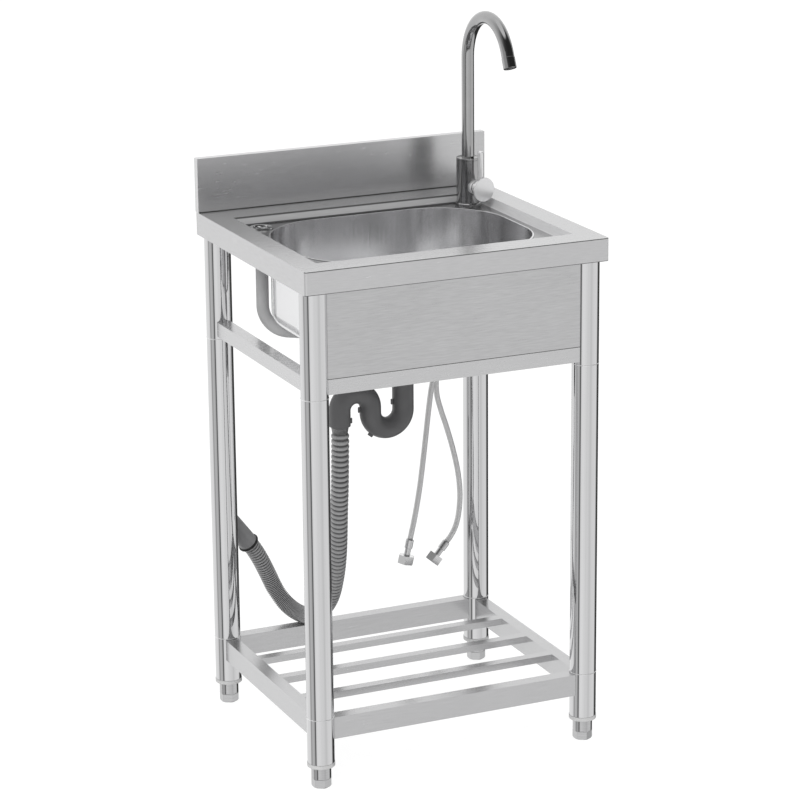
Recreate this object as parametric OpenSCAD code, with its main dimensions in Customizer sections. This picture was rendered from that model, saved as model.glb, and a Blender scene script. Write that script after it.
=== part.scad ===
// Free-standing stainless sink unit: pressed deck and bowl on a knock-down tube stand,
// slatted shelf, single-lever mixer tap with a swivel gooseneck, strainer waste, S trap and drain hose.
// Millimetres. The origin is on the floor under the centre of the deck.
// The front faces -Y and +Z is up.

/* [Unit] */
// Width of the whole unit
unit_w = 500; // [480:5:600]
// Depth of the whole unit
unit_d = 450; // [440:5:560]
// Height of the deck above the floor
deck_z = 820; // [810:5:880]
// Thickness of the stainless sheet
sheet_t = 1.2; // [0.8:0.1:1.6]
// Radius of the deck's upright corners
deck_corner_r = 4; // [2:0.5:8]
// Height of the folded aprons
apron_h = 36; // [28:1:45]

/* [Recess] */
// Depth of the pressed recess
recess_drop = 14; // [8:1:20]
// Width of the sloping recess wall seen from above
recess_slope = 5; // [3:0.5:7]
// Flat border at the left and right of the recess
border_side = 38; // [34:1:42]
// Flat border in front of the recess
border_front = 47; // [44:1:50]
// Flat border behind the recess
border_rear = 67; // [62:1:70]

/* [Splashback] */
// Height of the splashback above the deck
splash_h = 87; // [60:1:120]
// Thickness of the folded splashback
splash_t = 14; // [10:1:20]
// Height of the return lip at its rear
splash_lip = 22; // [12:1:35]

/* [Bowl] */
// Outer width of the bowl
bowl_w = 387; // [360:1:395]
// Outer length of the bowl from front to rear
bowl_l = 306; // [280:1:314]
// Outer depth of the bowl below the recess floor
bowl_depth = 142; // [120:1:160]
// Radius of the bowl's upright corners
bowl_corner_r = 112; // [105:1:125]
// Radius where the walls turn into the floor
bowl_foot_r = 25; // [15:1:35]
// Wall thickness of the bowl
bowl_wall = 1; // [0.8:0.1:1.5]
// Distance of the bowl's centre in front of the unit's centre
bowl_shift = 12; // [8:1:14]
// Width of the rolled rim outside the bowl wall
rim_w = 2; // [1.5:0.1:2.8]
// Height of the rolled rim above the recess floor
rim_h = 1.4; // [0.8:0.1:2.5]

/* [Stand] */
// Diameter of the legs
leg_d = 42; // [38:0.5:44]
// Wall thickness of the legs
leg_wall = 1.2; // [1:0.1:2]
// Distance of a leg's axis from the unit's left or right edge
leg_in_x = 24.5; // [23:0.5:27]
// Distance of a leg's axis from the unit's front or rear edge
leg_in_y = 29; // [27:0.5:32]
// Height of the upper seam
seam_top_z = 620; // [560:5:620]
// Height of the lower seam
seam_low_z = 113.5; // [112.5:0.5:130]
// Height of the lower end of the legs
collar_z = 34; // [30:1:40]
// Edge break on the tube ends
tube_edge = 0.5; // [0.2:0.1:0.8]
// Length of the joining sleeves
sleeve_l = 60; // [40:5:80]
// Wall thickness of the joining sleeves
sleeve_wall = 2; // [1.5:0.1:3]
// Width of the upper rails
top_rail_w = 22; // [18:1:26]
// Height of the upper rails
top_rail_h = 23.5; // [20:0.5:30]
// Height of the upper rails' underside
top_rail_z = 625.5; // [622:0.5:640]
// Wall thickness of all rails
rail_wall = 1.5; // [1:0.1:2]
// Distance of the front panel behind the unit's front edge
panel_in = 15.5; // [14:0.5:17]

/* [Shelf] */
// Height of the shelf's top face
shelf_z = 112; // [100:1:112]
// Width of the shelf rails
shelf_rail_w = 21; // [18:1:24]
// Height of the shelf rails
shelf_rail_h = 35; // [30:1:45]
// Width of a slat
slat_w = 16; // [12:1:20]
// Height of a slat
slat_h = 11; // [8:1:16]
// Gap between slats, and between the front rail and its slat
slat_gap = 76; // [60:1:78]

/* [Feet] */
// Diameter of a foot
foot_d = 31; // [28:0.5:32]
// Width across the flats at a foot's lower end
foot_flats = 27; // [25:0.5:28]
// Height of those flats
foot_flat_h = 13; // [10:1:16]
// Chamfer round a foot's bottom and above its flats
foot_chamfer = 1.5; // [0.5:0.1:2]
// Length of a foot that runs inside its insert
foot_hidden = 26; // [20:1:30]
// Travel left above a foot for screwing it in
foot_rise = 8; // [5:1:12]
// Diameter of a foot's threaded stem
foot_stem_d = 12; // [10:1:16]
// Length of that stem above the foot's body
foot_stem_l = 36; // [32:1:42]
// Height of the collar on an insert
collar_h = 6; // [4:0.5:8]
// Distance that the collar stands out from the leg
collar_out = 0.7; // [0.3:0.1:1.5]

/* [Waste] */
// Diameter of the hole in the bowl's floor
waste_hole_d = 88.8; // [86:0.1:92]
// Wall thickness of the strainer body
waste_wall = 1.7; // [1.2:0.1:2.5]
// Width of the flange outside the hole
waste_flange_w = 12; // [8:1:16]
// Thickness of the flange
waste_flange_t = 2.5; // [2:0.1:3.5]
// Depth of the strainer body below the bowl's floor
waste_depth = 36; // [34:1:40]
// Diameter of the outlet
waste_outlet_d = 38; // [36:0.5:40]
// Height of the ring nut and its gasket together
waste_nut_h = 12; // [10:1:13]
// Thickness of the gasket
gasket_t = 2; // [1:0.1:3]

/* [Overflow] */
// Distance of the overflow from the unit's left edge
overflow_in_x = 72; // [70:1:74]
// Distance of the overflow from the unit's rear edge
overflow_in_y = 98; // [96:1:100]
// Diameter of the overflow's ring
overflow_d = 38; // [34:1:40]
// Height of that ring above the recess floor
overflow_h = 2.4; // [1.5:0.1:3.5]
// Outer diameter of the overflow pipe
overflow_pipe_d = 20; // [18:0.5:22]
// Bend radius of the overflow pipe
overflow_bend_r = 40; // [35:1:45]

/* [Trap] */
// Outer diameter of the trap's tubes
trap_d = 34; // [32:0.5:36]
// Wall thickness of the trap's tubes
trap_wall = 2.5; // [2:0.1:3.5]
// Centreline radius of the U bend
u_bend_r = 28; // [26:0.5:32]
// Centreline radius of the arch bend
arch_bend_r = 26; // [24:0.5:32]
// Height of the U bend's centre
u_bend_z = 527; // [520:1:529]
// Height of the arch bend's centre
arch_bend_z = 536; // [535:1:545]
// Height of the joint between the arch and the hose adaptor
adaptor_top_z = 529.5; // [526:0.5:532]
// Height of the adaptor's lower face, where the hose starts
adaptor_low_z = 512; // [510:1:515]

/* [Hoses] */
// Outer diameter of the corrugated drain hose
drain_d = 28.5; // [27:0.5:30]
// Depth of its corrugations
drain_rib_depth = 2.2; // [1:0.1:3]
// Bore of the drain hose
drain_bore_d = 22; // [20:0.5:23]
// Rib pitch on the hanging length
rib_pitch_hang = 8.7; // [8:0.1:10]
// Rib pitch in the bottom bend
rib_pitch_bend = 3.4; // [3.3:0.1:5]
// Rib pitch on the rising length
rib_pitch_rise = 5.6; // [5:0.1:7]
// Outer diameter of the end cuff
cuff_d = 32; // [31:0.5:34]
// Diameter of the braided supply hoses
supply_d = 9; // [8:0.5:9.5]
// Width across the flats of a union nut
union_flats = 24; // [22:0.5:26]
// Height of a union nut
union_h = 14; // [12:0.5:16]
// Bore of a union nut
union_bore_d = 19; // [18:0.5:20]
// Diameter of a crimp ferrule
ferrule_d = 13; // [11:0.5:14]
// Length of a crimp ferrule
ferrule_l = 15; // [12:1:20]

/* [Tap] */
// Distance of the tap's axis from the unit's right edge
tap_in_x = 71; // [70:1:73]
// Distance of the tap's axis from the unit's rear edge
tap_in_y = 101; // [100:1:103]
// Diameter of the base ring
base_d = 42; // [40:0.5:44]
// Height of the base ring
base_h = 8; // [5:0.5:12]
// Diameter of the tap body
body_d = 37.5; // [35:0.5:40]
// Height of the tap body's top above the recess floor
body_h = 81; // [78:1:90]
// Height of the separate ring on top of the body
top_ring_h = 4; // [3:0.5:6]
// Diameter of the threaded shank
shank_d = 32; // [30:0.5:34]
// Length of the shank below the recess floor
shank_l = 46; // [40:1:55]
// Outer diameter of the spout tube
spout_d = 20; // [18:0.5:22]
// Wall thickness of the spout tube
spout_wall = 1.5; // [1:0.1:2]
// Length of the spout inside the body
spout_seat = 22; // [15:1:25]
// Height of the arch's centre above the recess floor
arch_h = 241; // [200:1:300]
// Centreline radius of the gooseneck
neck_r = 74; // [60:1:90]
// Sweep of the gooseneck in degrees
neck_sweep = 156; // [150:1:170]
// Length of the straight end
neck_end = 26; // [22:1:35]
// Length of the aerator's ring
aerator_l = 17.5; // [14:0.5:20]
// Distance that the aerator stands out from the tube
aerator_out = 0.4; // [0.2:0.1:1]

/* [Mixer] */
// Height of the mixer's axis above the recess floor
mixer_h = 34.8; // [32:0.2:38]
// Turn of the mixer's axis from straight forward, in degrees
mixer_turn = 10; // [0:1:20]
// Diameter of the stub and of the handle's hub
stub_d = 23; // [22:0.5:24]
// Distance of the stub's end face from the tap's axis
stub_end = 25; // [24:0.5:27]
// Distance of the handle's pivot from the tap's axis
pivot_reach = 30; // [29.5:0.1:30.5]
// Diameter of the stem's ball
ball_d = 16.4; // [15:0.2:17]
// Diameter of the stem
mixer_stem_d = 8; // [7:0.5:9]
// Diameter of the cross pin
pin_d = 3; // [2.5:0.1:3.2]
// Tilt of the handle when fully open, in degrees
tilt_max = 14; // [10:1:14]
// Diameter of the front disc
disc_d = 39; // [34:0.5:44]
// Thickness of the front disc
disc_t = 3.5; // [3:0.1:5]
// Distance of the disc's front face from the tap's axis
disc_reach = 44.7; // [44:0.1:47]
// Diameter of the lever
lever_d = 9.5; // [8:0.5:10]
// Distance of the lever from the tap's axis
lever_reach = 34.6; // [34:0.1:35.5]
// Height of the lever's tip above the mixer's axis
lever_h = 60.7; // [45:0.5:75]
// Height of the groove round the lever above the mixer's axis
lever_groove_h = 31.7; // [25:0.5:40]

/* [Hidden] */
$fn = 48;

// Overrun of every cut past the face that it opens
cut = 1;
// Clearance round a pipe or tube in a hole of its own body
fit_gap = 0.15;
// Clearance round a screwed neck in a hole of the sheet
hole_gap = 1;
// Radial clearance of a part that turns or slides in another
run_gap = 0.05;
// Clearance between moving pieces that only pass each other
pass_gap = 0.4;

// Tubes along a route: sides of each, steps between points, and rings as shares of the diameter
tube_sides = 8;
curve_steps = 6;
heading_step = 1;
cord_step_share = 2.5;
bore_step_share = 0.9;

// Deck and recess
floor_z = deck_z - recess_drop;
apron_z = deck_z - apron_h;
recess_w = unit_w - 2 * border_side;
recess_l = unit_d - border_front - border_rear;
recess_y = (border_front - border_rear) / 2;
deck_under_z = deck_z - sheet_t;
splash_y = unit_d / 2 - splash_t;

// Bowl
bowl_y = -bowl_shift;
bowl_z = floor_z - bowl_depth;
bowl_half_x = bowl_w / 2 - bowl_corner_r;
bowl_half_y = bowl_l / 2 - bowl_corner_r;
bowl_floor_z = bowl_z + bowl_wall;

// Stand
leg_r = leg_d / 2;
leg_bore_r = leg_r - leg_wall;
leg_x = unit_w / 2 - leg_in_x;
leg_y = unit_d / 2 - leg_in_y;
leg_places = [[-leg_x, -leg_y], [leg_x, -leg_y], [-leg_x, leg_y], [leg_x, leg_y]];
panel_y = -unit_d / 2 + panel_in;
slat_pitch = slat_w + slat_gap;
slat_first_y = -leg_y + shelf_rail_w / 2 + slat_gap + slat_w / 2;

// Feet
foot_r = foot_d / 2;
insert_r = leg_bore_r - fit_gap;
insert_boss = 6;
foot_body_top = collar_z + foot_hidden;
insert_step_z = foot_body_top + foot_rise;
insert_top_z = insert_step_z + insert_boss;

// Strainer
waste_r = waste_hole_d / 2 - fit_gap;
waste_bore_r = waste_r - waste_wall;
waste_flange_r = waste_hole_d / 2 + waste_flange_w;
waste_top_z = bowl_floor_z + waste_flange_t;
seat_w = 3.5;
seat_t = 1;
seat_r = waste_bore_r + seat_w;
seat_z = bowl_floor_z + seat_t;
cup_slope = 2;
waste_low_z = bowl_z - waste_depth;
waste_outlet_r = waste_outlet_d / 2;
waste_outlet_wall = 1.8;
waste_outlet_l = 28;
waste_end_z = waste_low_z - waste_outlet_l;
nut_lug = 4;
basket_depth = 25;
basket_taper = 3;
basket_hole_step = 8;
basket_hole_r = 2;
knob_r = 9;
knob_neck_r = 4;
knob_h = 6;
knob_z = seat_z - 2 * knob_h;

// Overflow
overflow_x = -unit_w / 2 + overflow_in_x;
overflow_y = unit_d / 2 - overflow_in_y;
overflow_span = norm([overflow_x, overflow_y - bowl_y]);
overflow_turn = atan2(overflow_y - bowl_y, overflow_x);
overflow_neck_r = 15;
overflow_neck_l = 14;
overflow_nut_h = 6;
overflow_wall = 1.6;
grille_bore_r = 12;
grille_bar = 4;
grille_edge = 1;
neck_low_z = floor_z - overflow_neck_l;
spigot_r = overflow_pipe_d / 2 - overflow_wall - fit_gap;
overflow_spigot_l = 14;
spigot_low_z = neck_low_z - overflow_spigot_l;
port_wall = 1.5;
port_reach = 62;
port_lap = 12;
port_z = bowl_z - waste_nut_h - overflow_pipe_d / 2 - pass_gap;

// Trap
trap_r = trap_d / 2;
trap_bore_r = trap_r - trap_wall;
trap_nut_h = 24;
trap_nut_r = 25;
trap_nut_rib_r = 1.5;
seal_h = 7;
seal_z = waste_end_z - seal_h;
trap_nut_z = seal_z - trap_wall;
trap_joint_z = (u_bend_z + arch_bend_z) / 2;
arm_left_x = -2 * u_bend_r;
arch_x = arm_left_x - arch_bend_r;
outlet_x = arch_x - arch_bend_r;
spigot_l = 20;
hose_spigot_r = drain_bore_d / 2 * cos(180 / tube_sides) - fit_gap;
spigot_bore_r = hose_spigot_r - overflow_wall;

// Tap
tap_x = unit_w / 2 - tap_in_x;
tap_y = unit_d / 2 - tap_in_y;
body_top_z = floor_z + body_h;
base_edge = 1.2;
spout_r = spout_d / 2;
spout_low_z = body_top_z - spout_seat;
arch_z = floor_z + arch_h;
shank_r = shank_d / 2;
shank_bore_r = 12;
shank_z = floor_z - shank_l;
waterway_r = 7;
waterway_floor = 8;
inlet_x = 5;
inlet_r = 3;
tap_nut_flats = 37;
tap_nut_h = 9;
tap_washer_d = 40;
tap_washer_t = 2;
aerator_wall = 1.8;
aerator_hole_ring = 5;
aerator_hole_r = 1.4;
mixer_z = floor_z + mixer_h;
hub_r = stub_d / 2;
cavity_r = ball_d / 2 + pass_gap;
stub_recess_r = 7;
stub_recess = 4;
stem_start = 8;
lever_r = lever_d / 2;
lever_seat = 9.6;
lever_edge = 1.5;
groove_w = 0.8;
groove_depth = 0.4;

// Drain hose: from the adaptor straight down, over the rear shelf rail and up behind the rear left leg
drain_route = [
    [-108, -12, 512], [-108, -12, 498], [-108, -12, 484], [-107, -8, 446], [-105, -1, 408],
    [-102, 10, 370], [-98, 22, 332], [-93, 37, 295], [-88, 55, 259], [-83, 78, 223],
    [-79, 103, 190], [-78, 129, 164], [-80, 156, 143], [-86, 185, 129], [-96, 211, 128],
    [-108, 233, 139], [-120, 247, 161], [-132, 251, 190], [-145, 247, 216], [-158, 243, 238],
    [-169, 240, 252], [-180, 237, 266]
];
cuff_l = 68;
cuff_bore_r = 10.5;
ribs_from = 14;
ribs_to_end = 20;
bend_from = 350;
bend_full = 430;
rise_from = 545;
rise_full = 590;

// Supply hoses: out of the shank, down behind the bowl and free at their ends
cold_route = [
    [174, 124, 814], [174, 124, 790], [174, 124, 764], [173, 123, 732], [170, 121, 698],
    [163, 118, 660], [150, 115, 622], [134, 112, 588], [118, 110, 555], [107, 110, 522],
    [101, 110, 486], [96, 110, 446], [90, 110, 398], [83, 110, 348], [74, 110, 300],
    [65, 110, 262]
];
hot_route = [
    [184, 124, 814], [184, 124, 790], [184, 124, 764], [184, 125, 732], [182, 127, 697],
    [177, 129, 660], [166, 130, 624], [150, 130, 592], [134, 130, 562], [124, 130, 530],
    [124, 130, 498], [131, 130, 470], [141, 130, 440], [152, 130, 402], [161, 130, 362],
    [165, 130, 324], [163, 130, 290], [157, 130, 266], [148, 130, 250], [140, 130, 241]
];
// Centres of the union nuts' lower faces
cold_end = [56, 110, 222];
hot_end = [113, 130, 210];
nipple_r = 5;
nipple_bore_r = 3;
nipple_flange_r = 8.5;
union_wall = 3;

// Outline helpers

// Rectangle with rounded corners, centred
module rounded_rect(w, l, r) {
    square([w - 2 * r, l], center = true);
    square([w, l - 2 * r], center = true);
    for (sx = [-1, 1], sy = [-1, 1])
        translate([sx * (w / 2 - r), sy * (l / 2 - r)]) circle(r);
}

// Block whose flat sides slope: w0 by l0 at its foot, w1 by l1 at its top
module sloped_block(w0, l0, w1, l1, h) {
    intersection() {
        rotate([90, 0, 0]) linear_extrude(l1 + l0, center = true)
            polygon([[-w0 / 2, 0], [w0 / 2, 0], [w1 / 2, h], [-w1 / 2, h]]);
        rotate([90, 0, 90]) linear_extrude(w1 + w0, center = true)
            polygon([[-l0 / 2, 0], [l0 / 2, 0], [l1 / 2, h], [-l1 / 2, h]]);
    }
}

// Sweeps a profile round a rounded rectangle; its x is measured outwards from the corner centres
module sweep_round(half_x, half_y) {
    corners = [[half_x, half_y], [-half_x, half_y], [-half_x, -half_y], [half_x, -half_y]];
    for (q = [0 : 3]) {
        translate(corners[q]) rotate(90 * q) rotate_extrude(angle = 90) children();
        rotate(90 * q) translate([q % 2 == 0 ? half_x : half_y, 0, 0]) rotate([90, 0, 0])
            linear_extrude(q % 2 == 0 ? 2 * half_y : 2 * half_x, center = true) children();
    }
}

// Round tube from z0 to z1 with its outer edges broken
module leg_tube(place, z0, z1) {
    translate(place) rotate_extrude() polygon([
        [leg_bore_r, z0], [leg_r - tube_edge, z0], [leg_r, z0 + tube_edge],
        [leg_r, z1 - tube_edge], [leg_r - tube_edge, z1], [leg_bore_r, z1]
    ]);
}

// Ring from z0 to z1
module ring(r_out, r_in, z0, z1) {
    translate([0, 0, z0]) difference() {
        cylinder(h = z1 - z0, r = r_out);
        translate([0, 0, -cut]) cylinder(h = z1 - z0 + 2 * cut, r = r_in);
    }
}

// Box tube along X, its ends coped round the legs
module rail_x(y, w, h, z) {
    difference() {
        translate([-leg_x, y - w / 2, z]) cube([2 * leg_x, w, h]);
        translate([-leg_x - cut, y - w / 2 + rail_wall, z + rail_wall])
            cube([2 * leg_x + 2 * cut, w - 2 * rail_wall, h - 2 * rail_wall]);
        leg_cuts(z, h);
    }
}

// Box tube along Y, its ends coped round the legs
module rail_y(x, w, h, z) {
    difference() {
        translate([x - w / 2, -leg_y, z]) cube([w, 2 * leg_y, h]);
        translate([x - w / 2 + rail_wall, -leg_y - cut, z + rail_wall])
            cube([w - 2 * rail_wall, 2 * leg_y + 2 * cut, h - 2 * rail_wall]);
        leg_cuts(z, h);
    }
}

// The four legs as cutters, over the height h above z
module leg_cuts(z, h) {
    for (p = leg_places)
        translate([p[0], p[1], z - cut]) cylinder(h = h + 2 * cut, r = leg_r + fit_gap);
}

// Pipe round a quarter or half turn in the XZ plane, from angle a0 over the given sweep
module bend(r_mid, r_out, r_in, a0, sweep) {
    rotate([90, 0, 0]) rotate(a0) rotate_extrude(angle = sweep) translate([r_mid, 0]) difference() {
        circle(r_out);
        circle(r_in);
    }
}

// Routes of hoses

// Point between b and c on a smooth curve through a, b, c and d
function smooth(a, b, c, d, t) =
    (2 * b + (c - a) * t + (2 * a - 5 * b + 4 * c - d) * t * t
        + (3 * b - a - 3 * c + d) * t * t * t) / 2;

// Curve through the points of a route, with the given number of steps from point to point
function curve(p, steps) = let (n = len(p) - 1) concat(
    [for (i = [0 : n - 1], j = [0 : steps - 1]) smooth(
        i > 0 ? p[i - 1] : 2 * p[0] - p[1], p[i], p[i + 1],
        i < n - 1 ? p[i + 2] : 2 * p[n] - p[n - 1], j / steps)],
    [p[n]]);

// Distance of each point of a curve from its start, along the curve
function runs(p) = [
    for (i = 0, s = 0; i < len(p); s = s + (i + 1 < len(p) ? norm(p[i + 1] - p[i]) : 0), i = i + 1) s
];

// Tables of x, y and z against the distance along a route
function route_tables(route) = let (p = curve(route, curve_steps), s = runs(p))
    [for (k = [0 : 2]) [for (i = [0 : len(p) - 1]) [s[i], p[i][k]]]];
function table_length(tables) = tables[0][len(tables[0]) - 1][0];
function place_at(tables, s) = [for (k = [0 : 2]) lookup(s, tables[k])];
function heading_at(tables, s) = let (
    d = place_at(tables, min(s + heading_step, table_length(tables)))
        - place_at(tables, max(s - heading_step, 0))
) d / norm(d);

// Ring of points round a route at distance s; side is a direction that the route never takes
function hoop(tables, s, r, side) = let (
    t = heading_at(tables, s),
    u = cross(t, side) / norm(cross(t, side)),
    v = cross(t, u),
    c = place_at(tables, s)
) [for (j = [0 : tube_sides - 1]) let (a = 360 * j / tube_sides) c + r * (cos(a) * u + sin(a) * v)];

// Faces between two neighbouring hoops that start at points m and m + tube_sides
function band(m, outside) = [for (j = [0 : tube_sides - 1]) let (
    a = m + j,
    b = m + (j + 1) % tube_sides,
    c = b + tube_sides,
    d = a + tube_sides
) each outside ? [[a, d, c], [a, c, b]] : [[a, b, c], [a, c, d]]];

// Faces of the flat ring between the hoops that start at points m and k
function end_ring(m, k, first) = [for (j = [0 : tube_sides - 1]) let (
    a = m + j,
    b = m + (j + 1) % tube_sides,
    c = k + (j + 1) % tube_sides,
    d = k + j
) each first ? [[a, b, c], [a, c, d]] : [[a, c, b], [a, d, c]]];

// Solid round cord along a route
module plain_cord(route, d, side) {
    tables = route_tables(route);
    total = table_length(tables);
    count = round(total / (cord_step_share * d));
    points = [for (i = [0 : count]) each hoop(tables, total * i / count, d / 2, side)];
    last = count * tube_sides;
    faces = concat(
        [for (i = [0 : count - 1]) each band(i * tube_sides, true)],
        [for (j = [1 : tube_sides - 2]) [0, j, j + 1]],
        [for (j = [1 : tube_sides - 2]) [last, last + j + 1, last + j]]
    );
    polyhedron(points, faces);
}

// Rib pitch at distance s along the drain hose
function rib_pitch(s) = lookup(s, [
    [0, rib_pitch_hang], [bend_from, rib_pitch_hang], [bend_full, rib_pitch_bend],
    [rise_from, rib_pitch_bend], [rise_full, rib_pitch_rise]
]);
function rib_places(total) = [
    for (s = ribs_from; s < total - ribs_to_end; s = s + rib_pitch(s)) s
];

// Deck, splashback and bowl

module recess_form(grow, over) {
    // The recess as a block, larger by grow on every side and carried over the deck by over
    slope = recess_slope / recess_drop;
    h = recess_drop + grow + over;
    foot_w = recess_w - 2 * recess_slope + 2 * grow;
    foot_l = recess_l - 2 * recess_slope + 2 * grow;
    rise = 2 * slope * h;
    translate([0, recess_y, floor_z - grow])
        sloped_block(foot_w, foot_l, foot_w + rise, foot_l + rise, h);
}

module deck() {
    color("#c9cacb") difference() {
        union() {
            difference() {
                translate([0, 0, apron_z]) linear_extrude(apron_h)
                    rounded_rect(unit_w, unit_d, deck_corner_r);
                translate([0, 0, apron_z - cut]) linear_extrude(apron_h - sheet_t + cut)
                    rounded_rect(unit_w - 2 * sheet_t, unit_d - 2 * sheet_t,
                        deck_corner_r - sheet_t / 2);
            }
            recess_form(sheet_t, 0);
        }
        recess_form(0, cut);
        translate([0, bowl_y, floor_z - sheet_t - cut]) linear_extrude(sheet_t + 2 * cut)
            rounded_rect(bowl_w + 2 * fit_gap, bowl_l + 2 * fit_gap, bowl_corner_r + fit_gap);
        translate([tap_x, tap_y, floor_z - sheet_t - cut])
            cylinder(h = sheet_t + 2 * cut, r = shank_r + hole_gap);
        translate([overflow_x, overflow_y, floor_z - sheet_t - cut])
            cylinder(h = sheet_t + 2 * cut, r = overflow_neck_r + hole_gap);
    }
}

module splashback() {
    color("#b4b5b6") translate([-unit_w / 2, splash_y, deck_z]) difference() {
        cube([unit_w, splash_t, splash_h]);
        translate([sheet_t, sheet_t, -cut])
            cube([unit_w - 2 * sheet_t, splash_t - 2 * sheet_t, splash_h - sheet_t + cut]);
        translate([sheet_t, splash_t - sheet_t - cut, -cut])
            cube([unit_w - 2 * sheet_t, sheet_t + 2 * cut, splash_h - splash_lip + cut]);
    }
}

module bowl_profile() {
    translate([bowl_corner_r - bowl_wall, bowl_foot_r]) square([bowl_wall, bowl_depth - bowl_foot_r]);
    square([bowl_corner_r - bowl_foot_r, bowl_wall]);
    translate([bowl_corner_r - bowl_foot_r, bowl_foot_r]) difference() {
        circle(bowl_foot_r);
        circle(bowl_foot_r - bowl_wall);
        translate([-bowl_foot_r - cut, -bowl_foot_r - cut])
            square([bowl_foot_r + cut, 2 * bowl_foot_r + 2 * cut]);
        translate([-cut, 0]) square([bowl_foot_r + 2 * cut, bowl_foot_r + cut]);
    }
    translate([bowl_corner_r - bowl_wall, bowl_depth]) difference() {
        union() {
            square([bowl_wall + rim_w, rim_h / 2]);
            translate([rim_h / 2, 0]) square([bowl_wall + rim_w - rim_h, rim_h]);
            for (x = [rim_h / 2, bowl_wall + rim_w - rim_h / 2])
                translate([x, rim_h / 2]) circle(rim_h / 2);
        }
        translate([-cut, -rim_h]) square([bowl_wall + rim_w + 2 * cut, rim_h]);
    }
}

module bowl() {
    color("#a9abad") translate([0, bowl_y, bowl_z]) difference() {
        union() {
            sweep_round(bowl_half_x, bowl_half_y) bowl_profile();
            translate([-bowl_half_x, -bowl_half_y, 0])
                cube([2 * bowl_half_x, 2 * bowl_half_y, bowl_wall]);
        }
        translate([0, 0, -cut]) cylinder(h = bowl_wall + 2 * cut, d = waste_hole_d);
    }
}

module front_panel() {
    low_z = top_rail_z + top_rail_h;
    color("#b9babc") difference() {
        translate([-leg_x, panel_y, low_z]) cube([2 * leg_x, sheet_t, deck_under_z - low_z]);
        leg_cuts(low_z, deck_under_z - low_z);
    }
}

// Stand

module top_rail_front() {
    color("#bcbdbf") rail_x(panel_y + top_rail_w / 2, top_rail_w, top_rail_h, top_rail_z);
}
module top_rail_left() {
    color("#cfd0d1") rail_y(-leg_x, top_rail_w, top_rail_h, top_rail_z);
}
module top_rail_right() {
    color("#c4c5c6") rail_y(leg_x, top_rail_w, top_rail_h, top_rail_z);
}

module upper_leg_fl() { color("#c8c9ca") leg_tube(leg_places[0], seam_top_z, deck_under_z); }
module upper_leg_fr() { color("#c8c9ca") leg_tube(leg_places[1], seam_top_z, deck_under_z); }
module upper_leg_rl() { color("#c8c9ca") leg_tube(leg_places[2], seam_top_z, deck_under_z); }
module upper_leg_rr() { color("#c8c9ca") leg_tube(leg_places[3], seam_top_z, deck_under_z); }
module middle_leg_fl() { color("#cbcccd") leg_tube(leg_places[0], seam_low_z, seam_top_z); }
module middle_leg_fr() { color("#cbcccd") leg_tube(leg_places[1], seam_low_z, seam_top_z); }
module middle_leg_rl() { color("#cbcccd") leg_tube(leg_places[2], seam_low_z, seam_top_z); }
module middle_leg_rr() { color("#cbcccd") leg_tube(leg_places[3], seam_low_z, seam_top_z); }
module lower_leg_fl() { color("#c8c9ca") leg_tube(leg_places[0], collar_z + collar_h, seam_low_z); }
module lower_leg_fr() { color("#c8c9ca") leg_tube(leg_places[1], collar_z + collar_h, seam_low_z); }
module lower_leg_rl() { color("#c8c9ca") leg_tube(leg_places[2], collar_z + collar_h, seam_low_z); }
module lower_leg_rr() { color("#c8c9ca") leg_tube(leg_places[3], collar_z + collar_h, seam_low_z); }

module leg_sleeves() {
    color("#9b9da0") for (p = leg_places, seam_z = [seam_low_z, seam_top_z]) translate(p)
        ring(insert_r, insert_r - sleeve_wall, seam_z - sleeve_l / 2, seam_z + sleeve_l / 2);
}

module shelf_rail_front() {
    color("#b6b7b8") rail_x(-leg_y, shelf_rail_w, shelf_rail_h, shelf_z - shelf_rail_h);
}
module shelf_rail_rear() {
    color("#b6b7b8") rail_x(leg_y, shelf_rail_w, shelf_rail_h, shelf_z - shelf_rail_h);
}
module shelf_rail_left() {
    color("#d4d5d5") rail_y(-leg_x, shelf_rail_w, shelf_rail_h, shelf_z - shelf_rail_h);
}
module shelf_rail_right() {
    color("#cdcecf") rail_y(leg_x, shelf_rail_w, shelf_rail_h, shelf_z - shelf_rail_h);
}

module shelf_slats() {
    // Three box tubes between the side rails, flush with their tops
    half = leg_x - shelf_rail_w / 2;
    color("#b8b9ba") for (i = [0 : 2])
        translate([-half, slat_first_y + i * slat_pitch - slat_w / 2, shelf_z - slat_h]) difference() {
            cube([2 * half, slat_w, slat_h]);
            translate([-cut, rail_wall, rail_wall])
                cube([2 * half + 2 * cut, slat_w - 2 * rail_wall, slat_h - 2 * rail_wall]);
        }
}

module foot_inserts() {
    color("#dcdddd") for (p = leg_places) translate(p) rotate_extrude() polygon([
        [foot_r + run_gap, collar_z], [leg_r + collar_out - tube_edge, collar_z],
        [leg_r + collar_out, collar_z + tube_edge], [leg_r + collar_out, collar_z + collar_h],
        [insert_r, collar_z + collar_h], [insert_r, insert_top_z],
        [foot_stem_d / 2 + run_gap, insert_top_z], [foot_stem_d / 2 + run_gap, insert_step_z],
        [foot_r + run_gap, insert_step_z]
    ]);
}

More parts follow.
